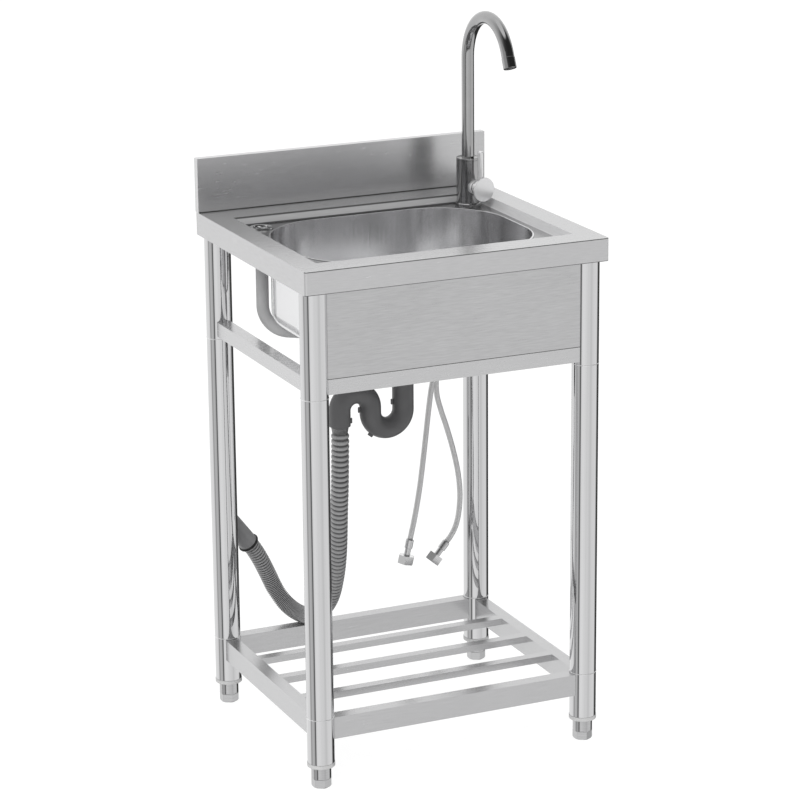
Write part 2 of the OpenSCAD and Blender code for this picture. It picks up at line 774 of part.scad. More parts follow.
module foot(place) {
    // Round body on a threaded stem, with six wrench flats at its lower end
    color("#d2d3d4") translate(place) difference() {
        rotate_extrude() polygon([
            [0, 0], [foot_r - foot_chamfer, 0], [foot_r, foot_chamfer], [foot_r, foot_body_top],
            [foot_stem_d / 2, foot_body_top], [foot_stem_d / 2, foot_body_top + foot_stem_l],
            [0, foot_body_top + foot_stem_l]
        ]);
        for (a = [0 : 60 : 300])
            rotate(a) rotate([90, 0, 0]) linear_extrude(foot_d, center = true) polygon([
                [foot_flats / 2, -cut], [foot_d, -cut],
                [foot_d, foot_flat_h + foot_d - foot_flats / 2], [foot_flats / 2, foot_flat_h]
            ]);
    }
}
module foot_fl() { foot(leg_places[0]); }
module foot_fr() { foot(leg_places[1]); }
module foot_rl() { foot(leg_places[2]); }
module foot_rr() { foot(leg_places[3]); }

// Waste and overflow

// Places its children on the drain's axis, with +X towards the overflow
module towards_overflow() {
    translate([0, bowl_y, 0]) rotate(overflow_turn) children();
}

module strainer_body() {
    color("#b9bbbd") difference() {
        union() {
            translate([0, bowl_y, 0]) rotate_extrude() polygon([
                [waste_outlet_r - waste_outlet_wall, waste_end_z], [waste_outlet_r, waste_end_z],
                [waste_outlet_r, waste_low_z],
                [waste_r, waste_low_z + cup_slope], [waste_r, bowl_floor_z],
                [waste_flange_r, bowl_floor_z], [waste_flange_r, seat_z],
                [waste_flange_r - seat_t, waste_top_z], [seat_r, waste_top_z], [seat_r, seat_z],
                [waste_bore_r, seat_z], [waste_bore_r, waste_low_z + cup_slope + waste_wall],
                [waste_outlet_r - waste_outlet_wall, waste_low_z + waste_wall]
            ]);
            towards_overflow() translate([waste_bore_r, 0, port_z]) rotate([0, 90, 0])
                cylinder(h = port_reach - waste_bore_r, r = spigot_r);
        }
        towards_overflow() translate([waste_outlet_r, 0, port_z]) rotate([0, 90, 0])
            cylinder(h = port_reach, r = spigot_r - port_wall);
    }
}

module strainer_gasket() {
    color("#2a2a2b") translate([0, bowl_y, 0])
        ring(waste_flange_r, waste_r + fit_gap, bowl_z - gasket_t, bowl_z);
}

module strainer_nut() {
    // Ring nut with grip lugs, screwed up under the gasket
    body_r = waste_flange_r - nut_lug;
    lug_from = (waste_r + body_r) / 2;
    color("#8f9194") translate([0, bowl_y, bowl_z - waste_nut_h])
        linear_extrude(waste_nut_h - gasket_t) {
            difference() {
                circle(body_r);
                circle(waste_r + fit_gap);
            }
            for (a = [0 : 45 : 315]) rotate(a)
                translate([lug_from, -nut_lug]) square([waste_flange_r - lug_from, 2 * nut_lug]);
        }
}

module strainer_basket() {
    // Perforated cup that hangs by its rim in the strainer body, with a lifting knob
    rim_r = seat_r - pass_gap;
    wall_r = waste_bore_r - 2 * pass_gap;
    low_z = seat_z - basket_depth;
    foot_in = basket_taper;
    color("#c4c6c8") translate([0, bowl_y, 0]) difference() {
        rotate_extrude() polygon([
            [0, low_z], [wall_r - foot_in, low_z], [wall_r, seat_z], [rim_r, seat_z],
            [rim_r, seat_z + seat_t], [wall_r - seat_t, seat_z + seat_t],
            [wall_r - foot_in - seat_t, low_z + seat_t], [knob_neck_r, low_z + seat_t],
            [knob_neck_r, knob_z], [knob_r, knob_z], [knob_r, knob_z + knob_h - seat_t],
            [knob_r - seat_t, knob_z + knob_h], [0, knob_z + knob_h]
        ]);
        for (k = [1, 2], i = [0 : 8 * k - 1]) rotate(360 * i / (8 * k))
            translate([knob_r + k * basket_hole_step, 0, low_z - cut])
                cylinder(h = seat_t + 2 * cut, r = basket_hole_r);
    }
}

module overflow_grille() {
    // Ring with a cross over its mouth, a threaded neck through the deck and a spigot for the pipe
    color("#e3e4e5") translate([overflow_x, overflow_y, 0]) {
        rotate_extrude() polygon([
            [grille_bore_r, floor_z], [overflow_d / 2, floor_z],
            [overflow_d / 2, floor_z + grille_edge],
            [overflow_d / 2 - grille_edge, floor_z + overflow_h],
            [grille_bore_r + grille_edge, floor_z + overflow_h], [grille_bore_r, floor_z + grille_edge]
        ]);
        rotate_extrude() polygon([
            [spigot_r - port_wall, spigot_low_z], [spigot_r, spigot_low_z], [spigot_r, neck_low_z],
            [overflow_neck_r, neck_low_z], [overflow_neck_r, floor_z],
            [grille_bore_r, floor_z], [spigot_r - port_wall, neck_low_z + port_wall]
        ]);
        intersection() {
            translate([0, 0, floor_z - grille_edge]) cylinder(h = 2 * grille_edge, r = overflow_neck_r);
            for (a = [0, 90]) rotate(a)
                translate([-overflow_d / 2, -grille_bar / 2, floor_z - grille_edge])
                    cube([overflow_d, grille_bar, 2 * grille_edge]);
        }
    }
}

module overflow_nut() {
    color("#8f9194") translate([overflow_x, overflow_y, 0]) difference() {
        translate([0, 0, floor_z - sheet_t - overflow_nut_h])
            cylinder(h = overflow_nut_h, d = overflow_d, $fn = 6);
        translate([0, 0, neck_low_z - cut])
            cylinder(h = overflow_neck_l + 2 * cut, r = overflow_neck_r + fit_gap);
    }
}

module pipe_run(r, over) {
    // Level from the strainer body's port, round a quarter bend and up over the grille's spigot
    bend_x = overflow_span - overflow_bend_r;
    end_x = port_reach - port_lap;
    translate([end_x - over, 0, port_z]) rotate([0, 90, 0]) cylinder(h = bend_x - end_x + over, r = r);
    translate([bend_x, 0, port_z + overflow_bend_r]) bend(overflow_bend_r, r, 0, -90, 90);
    translate([overflow_span, 0, port_z + overflow_bend_r])
        cylinder(h = neck_low_z - port_z - overflow_bend_r + over, r = r);
}

module overflow_pipe() {
    color("#77797c") towards_overflow() difference() {
        pipe_run(overflow_pipe_d / 2, 0);
        pipe_run(spigot_r + fit_gap, cut);
    }
}

// Trap

module trap_nut() {
    color("#5d5f61") translate([0, bowl_y, 0]) {
        rotate_extrude() polygon([
            [trap_r + fit_gap, trap_nut_z], [trap_nut_r, trap_nut_z],
            [trap_nut_r, trap_nut_z + trap_nut_h],
            [waste_outlet_r + fit_gap, trap_nut_z + trap_nut_h], [waste_outlet_r + fit_gap, seal_z],
            [trap_r + fit_gap, seal_z]
        ]);
        for (a = [0 : 30 : 330]) rotate(a) translate([trap_nut_r, 0, trap_nut_z])
            cylinder(h = trap_nut_h, r = trap_nut_rib_r, $fn = 16);
    }
}

module trap_seal() {
    color("#1f1f20") translate([0, bowl_y, 0])
        ring(waste_outlet_r, trap_r + fit_gap, seal_z, waste_end_z);
}

module trap_pipe(x, z0, z1, r) {
    translate([x, 0, z0]) cylinder(h = z1 - z0, r = r);
}

module u_bend_form(r, over) {
    trap_pipe(0, u_bend_z, waste_end_z + over, r);
    translate([-u_bend_r, 0, u_bend_z]) bend(u_bend_r, r, 0, 180, 180);
    trap_pipe(arm_left_x, u_bend_z, trap_joint_z + over, r);
}

module trap_u_bend() {
    color("#606264") translate([0, bowl_y, 0]) {
        difference() {
            u_bend_form(trap_r, 0);
            u_bend_form(trap_bore_r, cut);
        }
    }
}

module arch_form(r, over) {
    trap_pipe(arm_left_x, trap_joint_z - over, arch_bend_z, r);
    translate([arch_x, 0, arch_bend_z]) bend(arch_bend_r, r, 0, 0, 180);
    trap_pipe(outlet_x, adaptor_top_z - over, arch_bend_z, r);
}

module trap_arch() {
    color("#606264") translate([0, bowl_y, 0]) difference() {
        arch_form(trap_r, 0);
        arch_form(trap_bore_r, cut);
    }
}

module hose_adaptor() {
    // Sleeve under the arch with a spigot that the drain hose is pushed over
    color("#5a5c5e") translate([outlet_x, bowl_y, 0]) rotate_extrude() polygon([
        [spigot_bore_r, adaptor_low_z - spigot_l], [hose_spigot_r, adaptor_low_z - spigot_l],
        [hose_spigot_r, adaptor_low_z], [trap_r, adaptor_low_z], [trap_r, adaptor_top_z],
        [trap_bore_r, adaptor_top_z], [trap_bore_r, adaptor_low_z + trap_wall],
        [spigot_bore_r, adaptor_low_z + trap_wall]
    ]);
}

module drain_hose() {
    // Corrugated tube with a smooth bore; the ribs are stretched where it hangs and tight in its bend
    side = [1, 0, 0];
    tables = route_tables(drain_route);
    total = table_length(tables);
    crest = drain_d / 2;
    outer = concat(
        [[0, crest], [ribs_from - rib_pitch_hang / 2, crest]],
        [for (s = rib_places(total))
            each [[s, crest - drain_rib_depth], [s + rib_pitch(s) / 2, crest]]],
        [[total, crest]]
    );
    n_out = len(outer);
    n_in = round(total / (bore_step_share * drain_d));
    points = concat(
        [for (p = outer) each hoop(tables, p[0], p[1], side)],
        [for (i = [0 : n_in]) each hoop(tables, total * i / n_in, drain_bore_d / 2, side)]
    );
    inner = n_out * tube_sides;
    faces = concat(
        [for (i = [0 : n_out - 2]) each band(i * tube_sides, true)],
        [for (i = [0 : n_in - 1]) each band(inner + i * tube_sides, false)],
        end_ring(0, inner, true),
        end_ring(inner - tube_sides, inner + n_in * tube_sides, false)
    );
    echo("drain hose length", total, "ribs", len(rib_places(total)));
    color("#6f7173") polyhedron(points, faces);
}

module drain_cuff() {
    // Smooth end cuff over the last of the hose, leaning on the rear left leg
    mouth = drain_route[len(drain_route) - 2];
    stop = drain_route[len(drain_route) - 1];
    d = stop - mouth;
    turn = [0, acos(d[2] / norm(d)), atan2(d[1], d[0])];
    color("#9fa1a3") translate(mouth) rotate(turn) rotate_extrude() polygon([
        [drain_d / 2 + fit_gap, 0], [cuff_d / 2, 0], [cuff_d / 2, cuff_l - tube_edge],
        [cuff_d / 2 - tube_edge, cuff_l], [cuff_bore_r, cuff_l], [cuff_bore_r, norm(d)],
        [drain_d / 2 + fit_gap, norm(d)]
    ]);
}

// Tap

module tap_base() {
    color("#d9dadb") translate([tap_x, tap_y, floor_z]) difference() {
        rotate_extrude() polygon([
            [0, 0], [base_d / 2, 0], [base_d / 2, base_h - base_edge],
            [base_d / 2 - base_edge, base_h], [0, base_h]
        ]);
        translate([0, 0, -cut]) cylinder(h = base_h + 2 * cut, r = shank_r + fit_gap);
    }
}

// Places its children on the mixer's axis: +Z points out of the stub and +Y up
module mixer_frame() {
    translate([tap_x, tap_y, mixer_z]) rotate(mixer_turn) rotate([90, 0, 0]) children();
}

module tap_body() {
    color("#cfd1d3") difference() {
        union() {
            translate([tap_x, tap_y, floor_z + base_h])
                cylinder(h = body_h - base_h - top_ring_h, r = body_d / 2);
            translate([tap_x, tap_y, shank_z]) cylinder(h = shank_l + base_h, r = shank_r);
            mixer_frame() cylinder(h = stub_end, r = hub_r);
        }
        translate([tap_x, tap_y, spout_low_z]) cylinder(h = spout_seat + cut, r = spout_r + run_gap);
        translate([tap_x, tap_y, floor_z + base_h + waterway_floor])
            cylinder(h = body_h, r = waterway_r);
        translate([tap_x, tap_y, shank_z - cut])
            cylinder(h = shank_l + base_h + cut, r = shank_bore_r);
        for (side = [-1, 1]) translate([tap_x + side * inlet_x, tap_y, floor_z])
            cylinder(h = base_h + 2 * waterway_floor, r = inlet_r);
        mixer_frame() translate([0, 0, stem_start])
            cylinder(h = stub_end, r = mixer_stem_d / 2 + run_gap);
        mixer_frame() translate([0, 0, stub_end - stub_recess])
            cylinder(h = stub_recess + cut, r = stub_recess_r);
    }
}

module tap_top_ring() {
    r = body_d / 2;
    top = body_top_z;
    low = body_top_z - top_ring_h;
    color("#dcdddf") translate([tap_x, tap_y, 0]) rotate_extrude() polygon([
        [spout_r + run_gap, low], [r - tube_edge, low], [r, low + tube_edge], [r, top - tube_edge],
        [r - tube_edge, top], [spout_r + run_gap, top]
    ]);
}

module tap_nut() {
    // Washer and hexagon nut that clamp the tap from below
    under = floor_z - sheet_t;
    color("#a3a5a7") translate([tap_x, tap_y, 0]) difference() {
        union() {
            translate([0, 0, under - tap_washer_t]) cylinder(h = tap_washer_t, d = tap_washer_d);
            translate([0, 0, under - tap_washer_t - tap_nut_h])
                cylinder(h = tap_nut_h, d = tap_nut_flats / cos(30), $fn = 6);
        }
        translate([0, 0, under - tap_washer_t - tap_nut_h - cut])
            cylinder(h = tap_nut_h + tap_washer_t + 2 * cut, r = shank_r + fit_gap);
    }
}

// Places its children at the middle of the gooseneck's arch: the riser is on +X and +Y is up
module arch_frame() {
    translate([tap_x, tap_y - neck_r, arch_z]) rotate([90, 0, 90]) children();
}

// Places its children at the end of the gooseneck, with +Z along the tube and out of it
module spout_frame() {
    arch_frame() rotate(neck_sweep) translate([neck_r, 0, 0]) rotate([-90, 0, 0]) children();
}

module spout_form(r, over) {
    translate([tap_x, tap_y, spout_low_z - over]) cylinder(h = arch_z - spout_low_z + over, r = r);
    arch_frame() rotate_extrude(angle = neck_sweep + over) translate([neck_r, 0]) circle(r);
}

module spout() {
    color("#d5d7d9") difference() {
        spout_form(spout_r, 0);
        spout_form(spout_r - spout_wall, cut);
    }
}

module aerator() {
    // Ring on a straight neck as wide as the tube, with a perforated plate near its mouth
    r = spout_r + aerator_out;
    neck_l = neck_end - aerator_l;
    color("#c3c5c7") spout_frame() translate([0, 0, neck_l]) {
        rotate_extrude() polygon([
            [r - aerator_wall, -neck_l], [spout_r, -neck_l], [spout_r, 0],
            [r - tube_edge, 0], [r, tube_edge], [r, aerator_l - tube_edge],
            [r - tube_edge, aerator_l], [r - aerator_wall, aerator_l]
        ]);
        translate([0, 0, aerator_l - 2 * aerator_wall]) difference() {
            cylinder(h = aerator_wall, r = r - aerator_wall);
            for (a = [0 : 60 : 300]) rotate(a) translate([aerator_hole_ring, 0, -cut])
                cylinder(h = aerator_wall + 2 * cut, r = aerator_hole_r, $fn = 24);
            translate([0, 0, -cut]) cylinder(h = aerator_wall + 2 * cut, r = aerator_hole_r, $fn = 24);
        }
    }
}

module mixer_stem() {
    color("#b5a76a") mixer_frame() difference() {
        union() {
            translate([0, 0, stem_start + pass_gap])
                cylinder(h = pivot_reach - stem_start - pass_gap, r = mixer_stem_d / 2);
            translate([0, 0, pivot_reach]) sphere(d = ball_d);
        }
        translate([-ball_d, 0, pivot_reach]) rotate([0, 90, 0])
            cylinder(h = 2 * ball_d, r = pin_d / 2 + run_gap);
    }
}

module mixer_pin() {
    half = hub_r - pass_gap;
    color("#8b8d90") mixer_frame() translate([-half, 0, pivot_reach]) rotate([0, 90, 0])
        cylinder(h = 2 * half, r = pin_d / 2);
}

module handle() {
    // Hub with the front disc; its rear face slopes so that the handle can tilt on the cross pin
    r = disc_d / 2;
    color("#d8dadc") mixer_frame() difference() {
        union() {
            translate([0, 0, stub_end]) cylinder(h = disc_reach - disc_t - stub_end, r = hub_r);
            rotate_extrude() polygon([
                [0, disc_reach - disc_t], [r - tube_edge, disc_reach - disc_t],
                [r, disc_reach - disc_t + tube_edge], [r, disc_reach - tube_edge],
                [r - tube_edge, disc_reach], [0, disc_reach]
            ]);
        }
        translate([0, hub_r, stub_end + pass_gap]) rotate([-tilt_max / 2, 0, 0])
            translate([-stub_d, -2 * stub_d, -stub_d]) cube([2 * stub_d, 3 * stub_d, stub_d]);
        translate([0, 0, pivot_reach]) sphere(r = cavity_r);
        translate([0, 0, stub_end - cut]) cylinder(h = pivot_reach - stub_end + cut, r = cavity_r);
        translate([-stub_d, 0, pivot_reach]) rotate([0, 90, 0])
            cylinder(h = 2 * stub_d, r = pin_d / 2 + run_gap);
        translate([0, 0, lever_reach]) rotate([-90, 0, 0]) translate([0, 0, lever_seat])
            cylinder(h = hub_r, r = lever_r + run_gap);
    }
}

module handle_lever() {
    color("#d8dadc") mixer_frame() translate([0, 0, lever_reach]) rotate([-90, 0, 0])
        rotate_extrude() polygon([
            [0, lever_seat], [lever_r, lever_seat], [lever_r, lever_groove_h],
            [lever_r - groove_depth, lever_groove_h],
            [lever_r - groove_depth, lever_groove_h + groove_w],
            [lever_r, lever_groove_h + groove_w], [lever_r, lever_h - lever_edge],
            [lever_r - lever_edge, lever_h], [0, lever_h]
        ]);
}

// Supply hoses

// Places its children at the end of a route, with +Z towards the union nut's lower face
module hose_end(from, to) {
    d = to - from;
    translate(from) rotate([0, acos(d[2] / norm(d)), atan2(d[1], d[0])]) children();
}

module supply_tail(route, end) {
    // Crimp ferrule and nipple with the collar that the union nut pulls on
    from = route[len(route) - 1];
    reach = norm(end - from);
    color("#c9cbcd") hose_end(from, end) difference() {
        rotate_extrude() polygon([
            [0, 0], [ferrule_d / 2 - tube_edge, 0], [ferrule_d / 2, tube_edge],
            [ferrule_d / 2, ferrule_l - tube_edge], [ferrule_d / 2 - tube_edge, ferrule_l],
            [nipple_r, ferrule_l], [nipple_r, reach - union_h + union_wall + pass_gap],
            [nipple_flange_r, reach - union_h + union_wall + pass_gap],
            [nipple_flange_r, reach - union_h + 2 * union_wall], [0, reach - union_h + 2 * union_wall]
        ]);
        translate([0, 0, ferrule_l]) cylinder(h = reach, r = nipple_bore_r);
    }
}

module supply_nut(route, end) {
    from = route[len(route) - 1];
    reach = norm(end - from);
    color("#dcdedf") hose_end(from, end) translate([0, 0, reach - union_h]) difference() {
        cylinder(h = union_h, d = union_flats / cos(30), $fn = 6);
        translate([0, 0, -cut]) cylinder(h = union_h, r = nipple_r + pass_gap);
        translate([0, 0, union_wall]) cylinder(h = union_wall + cut, r = nipple_flange_r + fit_gap);
        translate([0, 0, 2 * union_wall]) cylinder(h = union_h, d = union_bore_d);
    }
}

module cold_hose() { color("#a9abad") plain_cord(cold_route, supply_d, [0, 1, 0]); }
module hot_hose() { color("#a9abad") plain_cord(hot_route, supply_d, [0, 1, 0]); }
module cold_tail() { supply_tail(cold_route, cold_end); }
module hot_tail() { supply_tail(hot_route, hot_end); }
module cold_nut() { supply_nut(cold_route, cold_end); }
module hot_nut() { supply_nut(hot_route, hot_end); }

deck();
splashback();
bowl();
front_panel();
top_rail_front();
top_rail_left();
top_rail_right();
upper_leg_fl();
upper_leg_fr();
upper_leg_rl();
upper_leg_rr();
middle_leg_fl();
middle_leg_fr();
middle_leg_rl();
middle_leg_rr();
lower_leg_fl();
lower_leg_fr();
lower_leg_rl();
lower_leg_rr();
leg_sleeves();
shelf_rail_front();
shelf_rail_rear();
shelf_rail_left();
shelf_rail_right();
shelf_slats();
foot_inserts();
foot_fl();
foot_fr();
foot_rl();
foot_rr();
strainer_body();
strainer_gasket();
strainer_nut();
strainer_basket();
overflow_grille();
overflow_nut();
overflow_pipe();
trap_nut();
trap_seal();
trap_u_bend();
trap_arch();
hose_adaptor();
drain_hose();
drain_cuff();
tap_base();
tap_body();
tap_top_ring();
tap_nut();
spout();
aerator();
mixer_stem();
mixer_pin();
handle();
handle_lever();
cold_hose();
cold_tail();
cold_nut();
hot_hose();
hot_tail();
hot_nut();
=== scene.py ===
import math

import bmesh
import bpy
from mathutils import Matrix, Vector


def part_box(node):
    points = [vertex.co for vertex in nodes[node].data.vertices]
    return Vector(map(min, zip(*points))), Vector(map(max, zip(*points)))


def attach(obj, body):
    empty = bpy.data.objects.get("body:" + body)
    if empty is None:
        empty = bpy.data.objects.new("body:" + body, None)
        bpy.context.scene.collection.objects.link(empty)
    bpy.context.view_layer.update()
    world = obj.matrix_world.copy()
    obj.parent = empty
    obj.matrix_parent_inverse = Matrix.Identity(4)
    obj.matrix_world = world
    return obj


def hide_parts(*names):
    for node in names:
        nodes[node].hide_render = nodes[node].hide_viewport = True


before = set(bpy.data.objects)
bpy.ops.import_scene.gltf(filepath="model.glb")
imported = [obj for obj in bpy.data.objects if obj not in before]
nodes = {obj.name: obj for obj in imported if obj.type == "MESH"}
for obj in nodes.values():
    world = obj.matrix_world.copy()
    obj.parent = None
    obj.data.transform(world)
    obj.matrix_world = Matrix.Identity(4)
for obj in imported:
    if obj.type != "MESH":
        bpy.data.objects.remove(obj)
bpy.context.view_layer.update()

scene = bpy.context.scene

# Camera
# It looks at the unit from the front left and a little from above, at the photograph's angle and
# distance. Places are in metres and turns in degrees.
camera_place = (-1.89706, -4.25074, 1.89166)
camera_yaw = -24.055
camera_pitch = -16.227
camera_roll = -0.545
focal_length = 138.63

camera = bpy.data.objects.new("camera", bpy.data.cameras.new("camera"))
camera.data.lens = focal_length
camera.data.sensor_width = 36
camera.data.clip_end = 60
camera.matrix_world = (
    Matrix.Translation(camera_place)
    @ Matrix.Rotation(math.radians(camera_yaw), 4, "Z")
    @ Matrix.Rotation(math.radians(90 + camera_pitch), 4, "X")
    @ Matrix.Rotation(math.radians(camera_roll), 4, "Z")
)
scene.collection.objects.link(camera)
scene.camera = camera

# Drain hose
# A corrugated hose of grey plastic, pushed over the trap's outlet. It hangs down, crosses the rear
# shelf rail and comes up behind the rear left leg, where its cuff leans. Its ribs are stretched
# where it hangs and pressed together where it bends.
drain_route = [
    (-0.108, -0.012, 0.512), (-0.108, -0.012, 0.498), (-0.108, -0.012, 0.484), (-0.107, -0.008, 0.446),
    (-0.105, -0.001, 0.408), (-0.102, 0.010, 0.370), (-0.098, 0.022, 0.332), (-0.093, 0.037, 0.295),
    (-0.088, 0.055, 0.259), (-0.083, 0.078, 0.223), (-0.079, 0.103, 0.190), (-0.078, 0.129, 0.164),
    (-0.080, 0.156, 0.143), (-0.086, 0.185, 0.129), (-0.096, 0.211, 0.128), (-0.108, 0.233, 0.139),
    (-0.120, 0.247, 0.161), (-0.132, 0.251, 0.190), (-0.145, 0.247, 0.216), (-0.158, 0.243, 0.238),
    (-0.169, 0.240, 0.252), (-0.180, 0.237, 0.266),
]
drain_diameter = 0.0285
drain_groove = 0.0022
# Rib pitch against the distance from the outlet
drain_pitches = [
    (0, 0.0087), (0.350, 0.0087), (0.430, 0.0031),
    (0.545, 0.0031), (0.590, 0.0056), (1, 0.0056),
]
# Height of a rib, from groove to crest, against its share of the pitch
rib_shape = [
    (0.00, 0.0), (0.10, 0.15), (0.20, 0.70), (0.34, 0.95),
    (0.50, 1.0), (0.66, 0.95), (0.80, 0.70), (0.90, 0.15),
]
first_rib = 0.012
last_rib_to_end = 0.012
least_plain_end = 0.001
drain_sides = 32
steps_per_point = 6


def smooth_route(route):
    """The points of a smooth curve through a route's own points."""
    ends = [2 * Vector(route[0]) - Vector(route[1]), 2 * Vector(route[-1]) - Vector(route[-2])]
    points = [ends[0], *(Vector(p) for p in route), ends[1]]
    line = []
    for a, b, c, d in zip(points, points[1:], points[2:], points[3:]):
        for i in range(steps_per_point):
            t = i / steps_per_point
            bend = (2 * a - 5 * b + 4 * c - d) * t**2 + (3 * b - a - 3 * c + d) * t**3
            line.append((2 * b + (c - a) * t + bend) / 2)
    return [*line, points[-2]]


def between(table, x):
    """The value at x of a table of (x, value), on straight lines between its rows."""
    for (x0, y0), (x1, y1) in zip(table, table[1:]):
        if x <= x1:
            return y0 + (y1 - y0) * (x - x0) / (x1 - x0)
    return table[-1][1]


def line_runs(line):
    """The distance of each point of a line from its start, along the line."""
    runs = [0.0]
    for p, q in zip(line, line[1:]):
        runs.append(runs[-1] + (q - p).length)
    return runs


def new_piece(name, bm, material, body, smooth=True):
    """A piece made from a bmesh, which rides on a body and takes its finish from a slot."""
    mesh = bpy.data.meshes.new(name)
    bm.to_mesh(mesh)
    bm.free()
    for face in mesh.polygons:
        face.use_smooth = smooth
    mesh.materials.append(material)
    piece = bpy.data.objects.new(name, mesh)
    scene.collection.objects.link(piece)
    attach(piece, body)
    return piece


def spin_round(bm, outline, steps):
    """Spins an outline once round Z and joins the ends."""
    bmesh.ops.spin(
        bm, geom=outline, cent=(0, 0, 0), axis=(0, 0, 1), angle=2 * math.pi, steps=steps, use_merge=True
    )
    bmesh.ops.remove_doubles(bm, verts=bm.verts, dist=1e-6)
    bmesh.ops.recalc_face_normals(bm, faces=bm.faces)


def hose_mesh(line, outline, sides, side):
    """A straight tube spun from its outline of (distance, radius), then laid along a line.

    Its UV map runs along the hose in metres and once round it. The attribute crest is 1 on the
    widest rings and 0 on the narrowest.
    """
    bm = bmesh.new()
    verts = [bm.verts.new((radius, 0, run)) for run, radius in outline]
    edges = [bm.edges.new(pair) for pair in zip(verts, verts[1:])]
    spin_round(bm, verts + edges, sides)
    uv = bm.loops.layers.uv.new("UVMap")
    crest = bm.verts.layers.float.new("crest")
    radii = [radius for run, radius in outline if radius > 0]
    for v in bm.verts:
        spread = max(radii) - min(radii)
        v[crest] = (v.co.xy.length - min(radii)) / spread if spread > 1e-5 else 1
    for face in bm.faces:
        turns = [math.atan2(loop.vert.co.y, loop.vert.co.x) / (2 * math.pi) % 1 for loop in face.loops]
        wraps = max(turns) - min(turns) > 0.5
        for loop, turn in zip(face.loops, turns):
            loop[uv].uv = (loop.vert.co.z, turn + 1 if wraps and turn < 0.5 else turn)
    runs = line_runs(line)
    rings = {}
    for v in bm.verts:
        rings.setdefault(round(v.co.z, 7), []).append(v)
    side = Vector(side)
    i = 0
    for run in sorted(rings):
        while i < len(line) - 2 and runs[i + 1] < run:
            i += 1
        t = (run - runs[i]) / (runs[i + 1] - runs[i])
        centre = line[i].lerp(line[i + 1], t)
        before = (line[i + 1] - line[max(i - 1, 0)]).normalized()
        after = (line[min(i + 2, len(line) - 1)] - line[i]).normalized()
        heading = before.lerp(after, t).normalized()
        across = heading.cross(side).normalized()
        up = heading.cross(across)
        for v in rings[run]:
            v.co = centre + v.co.x * across + v.co.y * up
    bmesh.ops.recalc_face_normals(bm, faces=bm.faces)
    return bm


def plain_material(name, **settings):
    """A material whose shader's own sockets hold the settings, and its node tree and shader."""
    material = bpy.data.materials.new(name)
    material.use_nodes = True
    tree = material.node_tree
    shader = tree.nodes["Principled BSDF"]
    for label, value in settings.items():
        shader.inputs[label.replace("_", " ")].default_value = value
    material.diffuse_color = shader.inputs["Base Color"].default_value
    return material, tree, shader


def add_node(tree, kind, inputs=None, **settings):
    """A node whose settings and inputs are given; an input that is a socket is linked."""
    node = tree.nodes.new(kind)
    for label, value in settings.items():
        setattr(node, label, value)
    for label, value in (inputs or {}).items():
        if isinstance(value, bpy.types.NodeSocket):
            tree.links.new(value, node.inputs[label])
        else:
            node.inputs[label].default_value = value
    return node


def maths(tree, operation, *values):
    """The result of a maths node."""
    return add_node(tree, "ShaderNodeMath", dict(enumerate(values)), operation=operation).outputs[0]


def mixed(tree, factor, low, high):
    """Two colours mixed by a factor."""
    mix = add_node(tree, "ShaderNodeMix", {0: factor, 6: low, 7: high}, data_type="RGBA")
    return mix.outputs[2]


def ranged(tree, value, low, high):
    """A value from 0 to 1 brought to the range from low to high."""
    return add_node(tree, "ShaderNodeMapRange", {"Value": value, "To Min": low, "To Max": high}).outputs[0]


def bumped(tree, shader, height, distance):
    """Feeds a height through a bump node to the shader's normal."""
    bump = add_node(tree, "ShaderNodeBump", {"Height": height, "Distance": distance, "Strength": 1.0})
    tree.links.new(bump.outputs[0], shader.inputs["Normal"])


def effect_group(name, inputs, outputs):
    """An empty node group with named inputs (name, kind, value) and outputs (name, kind)."""
    group = bpy.data.node_groups.new(name, "ShaderNodeTree")
    for label, kind, value in inputs:
        socket = group.interface.new_socket(label, in_out="INPUT", socket_type=kind)
        socket.default_value = value
    for label, kind in outputs:
        group.interface.new_socket(label, in_out="OUTPUT", socket_type=kind)
    return group, group.nodes.new("NodeGroupInput"), group.nodes.new("NodeGroupOutput")


def add_effect(tree, shader, group, dark, light):
    """Adds an effect group between two colours, and feeds the shader's colour and roughness from it."""
    effect = tree.nodes.new("ShaderNodeGroup")
    effect.node_tree = group
    effect.inputs["Dark"].default_value = dark
    effect.inputs["Light"].default_value = light
    tree.links.new(effect.outputs["Color"], shader.inputs["Base Color"])
    tree.links.new(effect.outputs["Roughness"], shader.inputs["Roughness"])
    return effect


def opened(material):
    """A material's node tree, its shader and the socket that feeds the shader's colour."""
    tree = material.node_tree
    shader = tree.nodes["Principled BSDF"]
    return tree, shader, shader.inputs["Base Color"].links[0].from_socket


# Moulded plastic: a soft mottle of colour and gloss, with the fine orange peel of a steel mould
moulded, given, result = effect_group(
    "moulded_plastic",
    [
        ("Dark", "NodeSocketColor", (0.1, 0.1, 0.1, 1)),
        ("Light", "NodeSocketColor", (0.2, 0.2, 0.2, 1)),
        ("Gloss Low", "NodeSocketFloat", 0.35),
        ("Gloss High", "NodeSocketFloat", 0.5),
    ],
    [("Color", "NodeSocketColor"), ("Roughness", "NodeSocketFloat"), ("Height", "NodeSocketFloat")],
)
place = add_node(moulded, "ShaderNodeTexCoord").outputs["Object"]
mottle = add_node(moulded, "ShaderNodeTexNoise", {"Vector": place, "Scale": 45, "Detail": 3}).outputs[0]
peel = add_node(moulded, "ShaderNodeTexNoise", {"Vector": place, "Scale": 700, "Detail": 2}).outputs[0]
scuff = add_node(moulded, "ShaderNodeTexNoise", {"Vector": place, "Scale": 160, "Detail": 4}).outputs[0]
moulded.links.new(mixed(moulded, mottle, given.outputs["Dark"], given.outputs["Light"]), result.inputs[0])
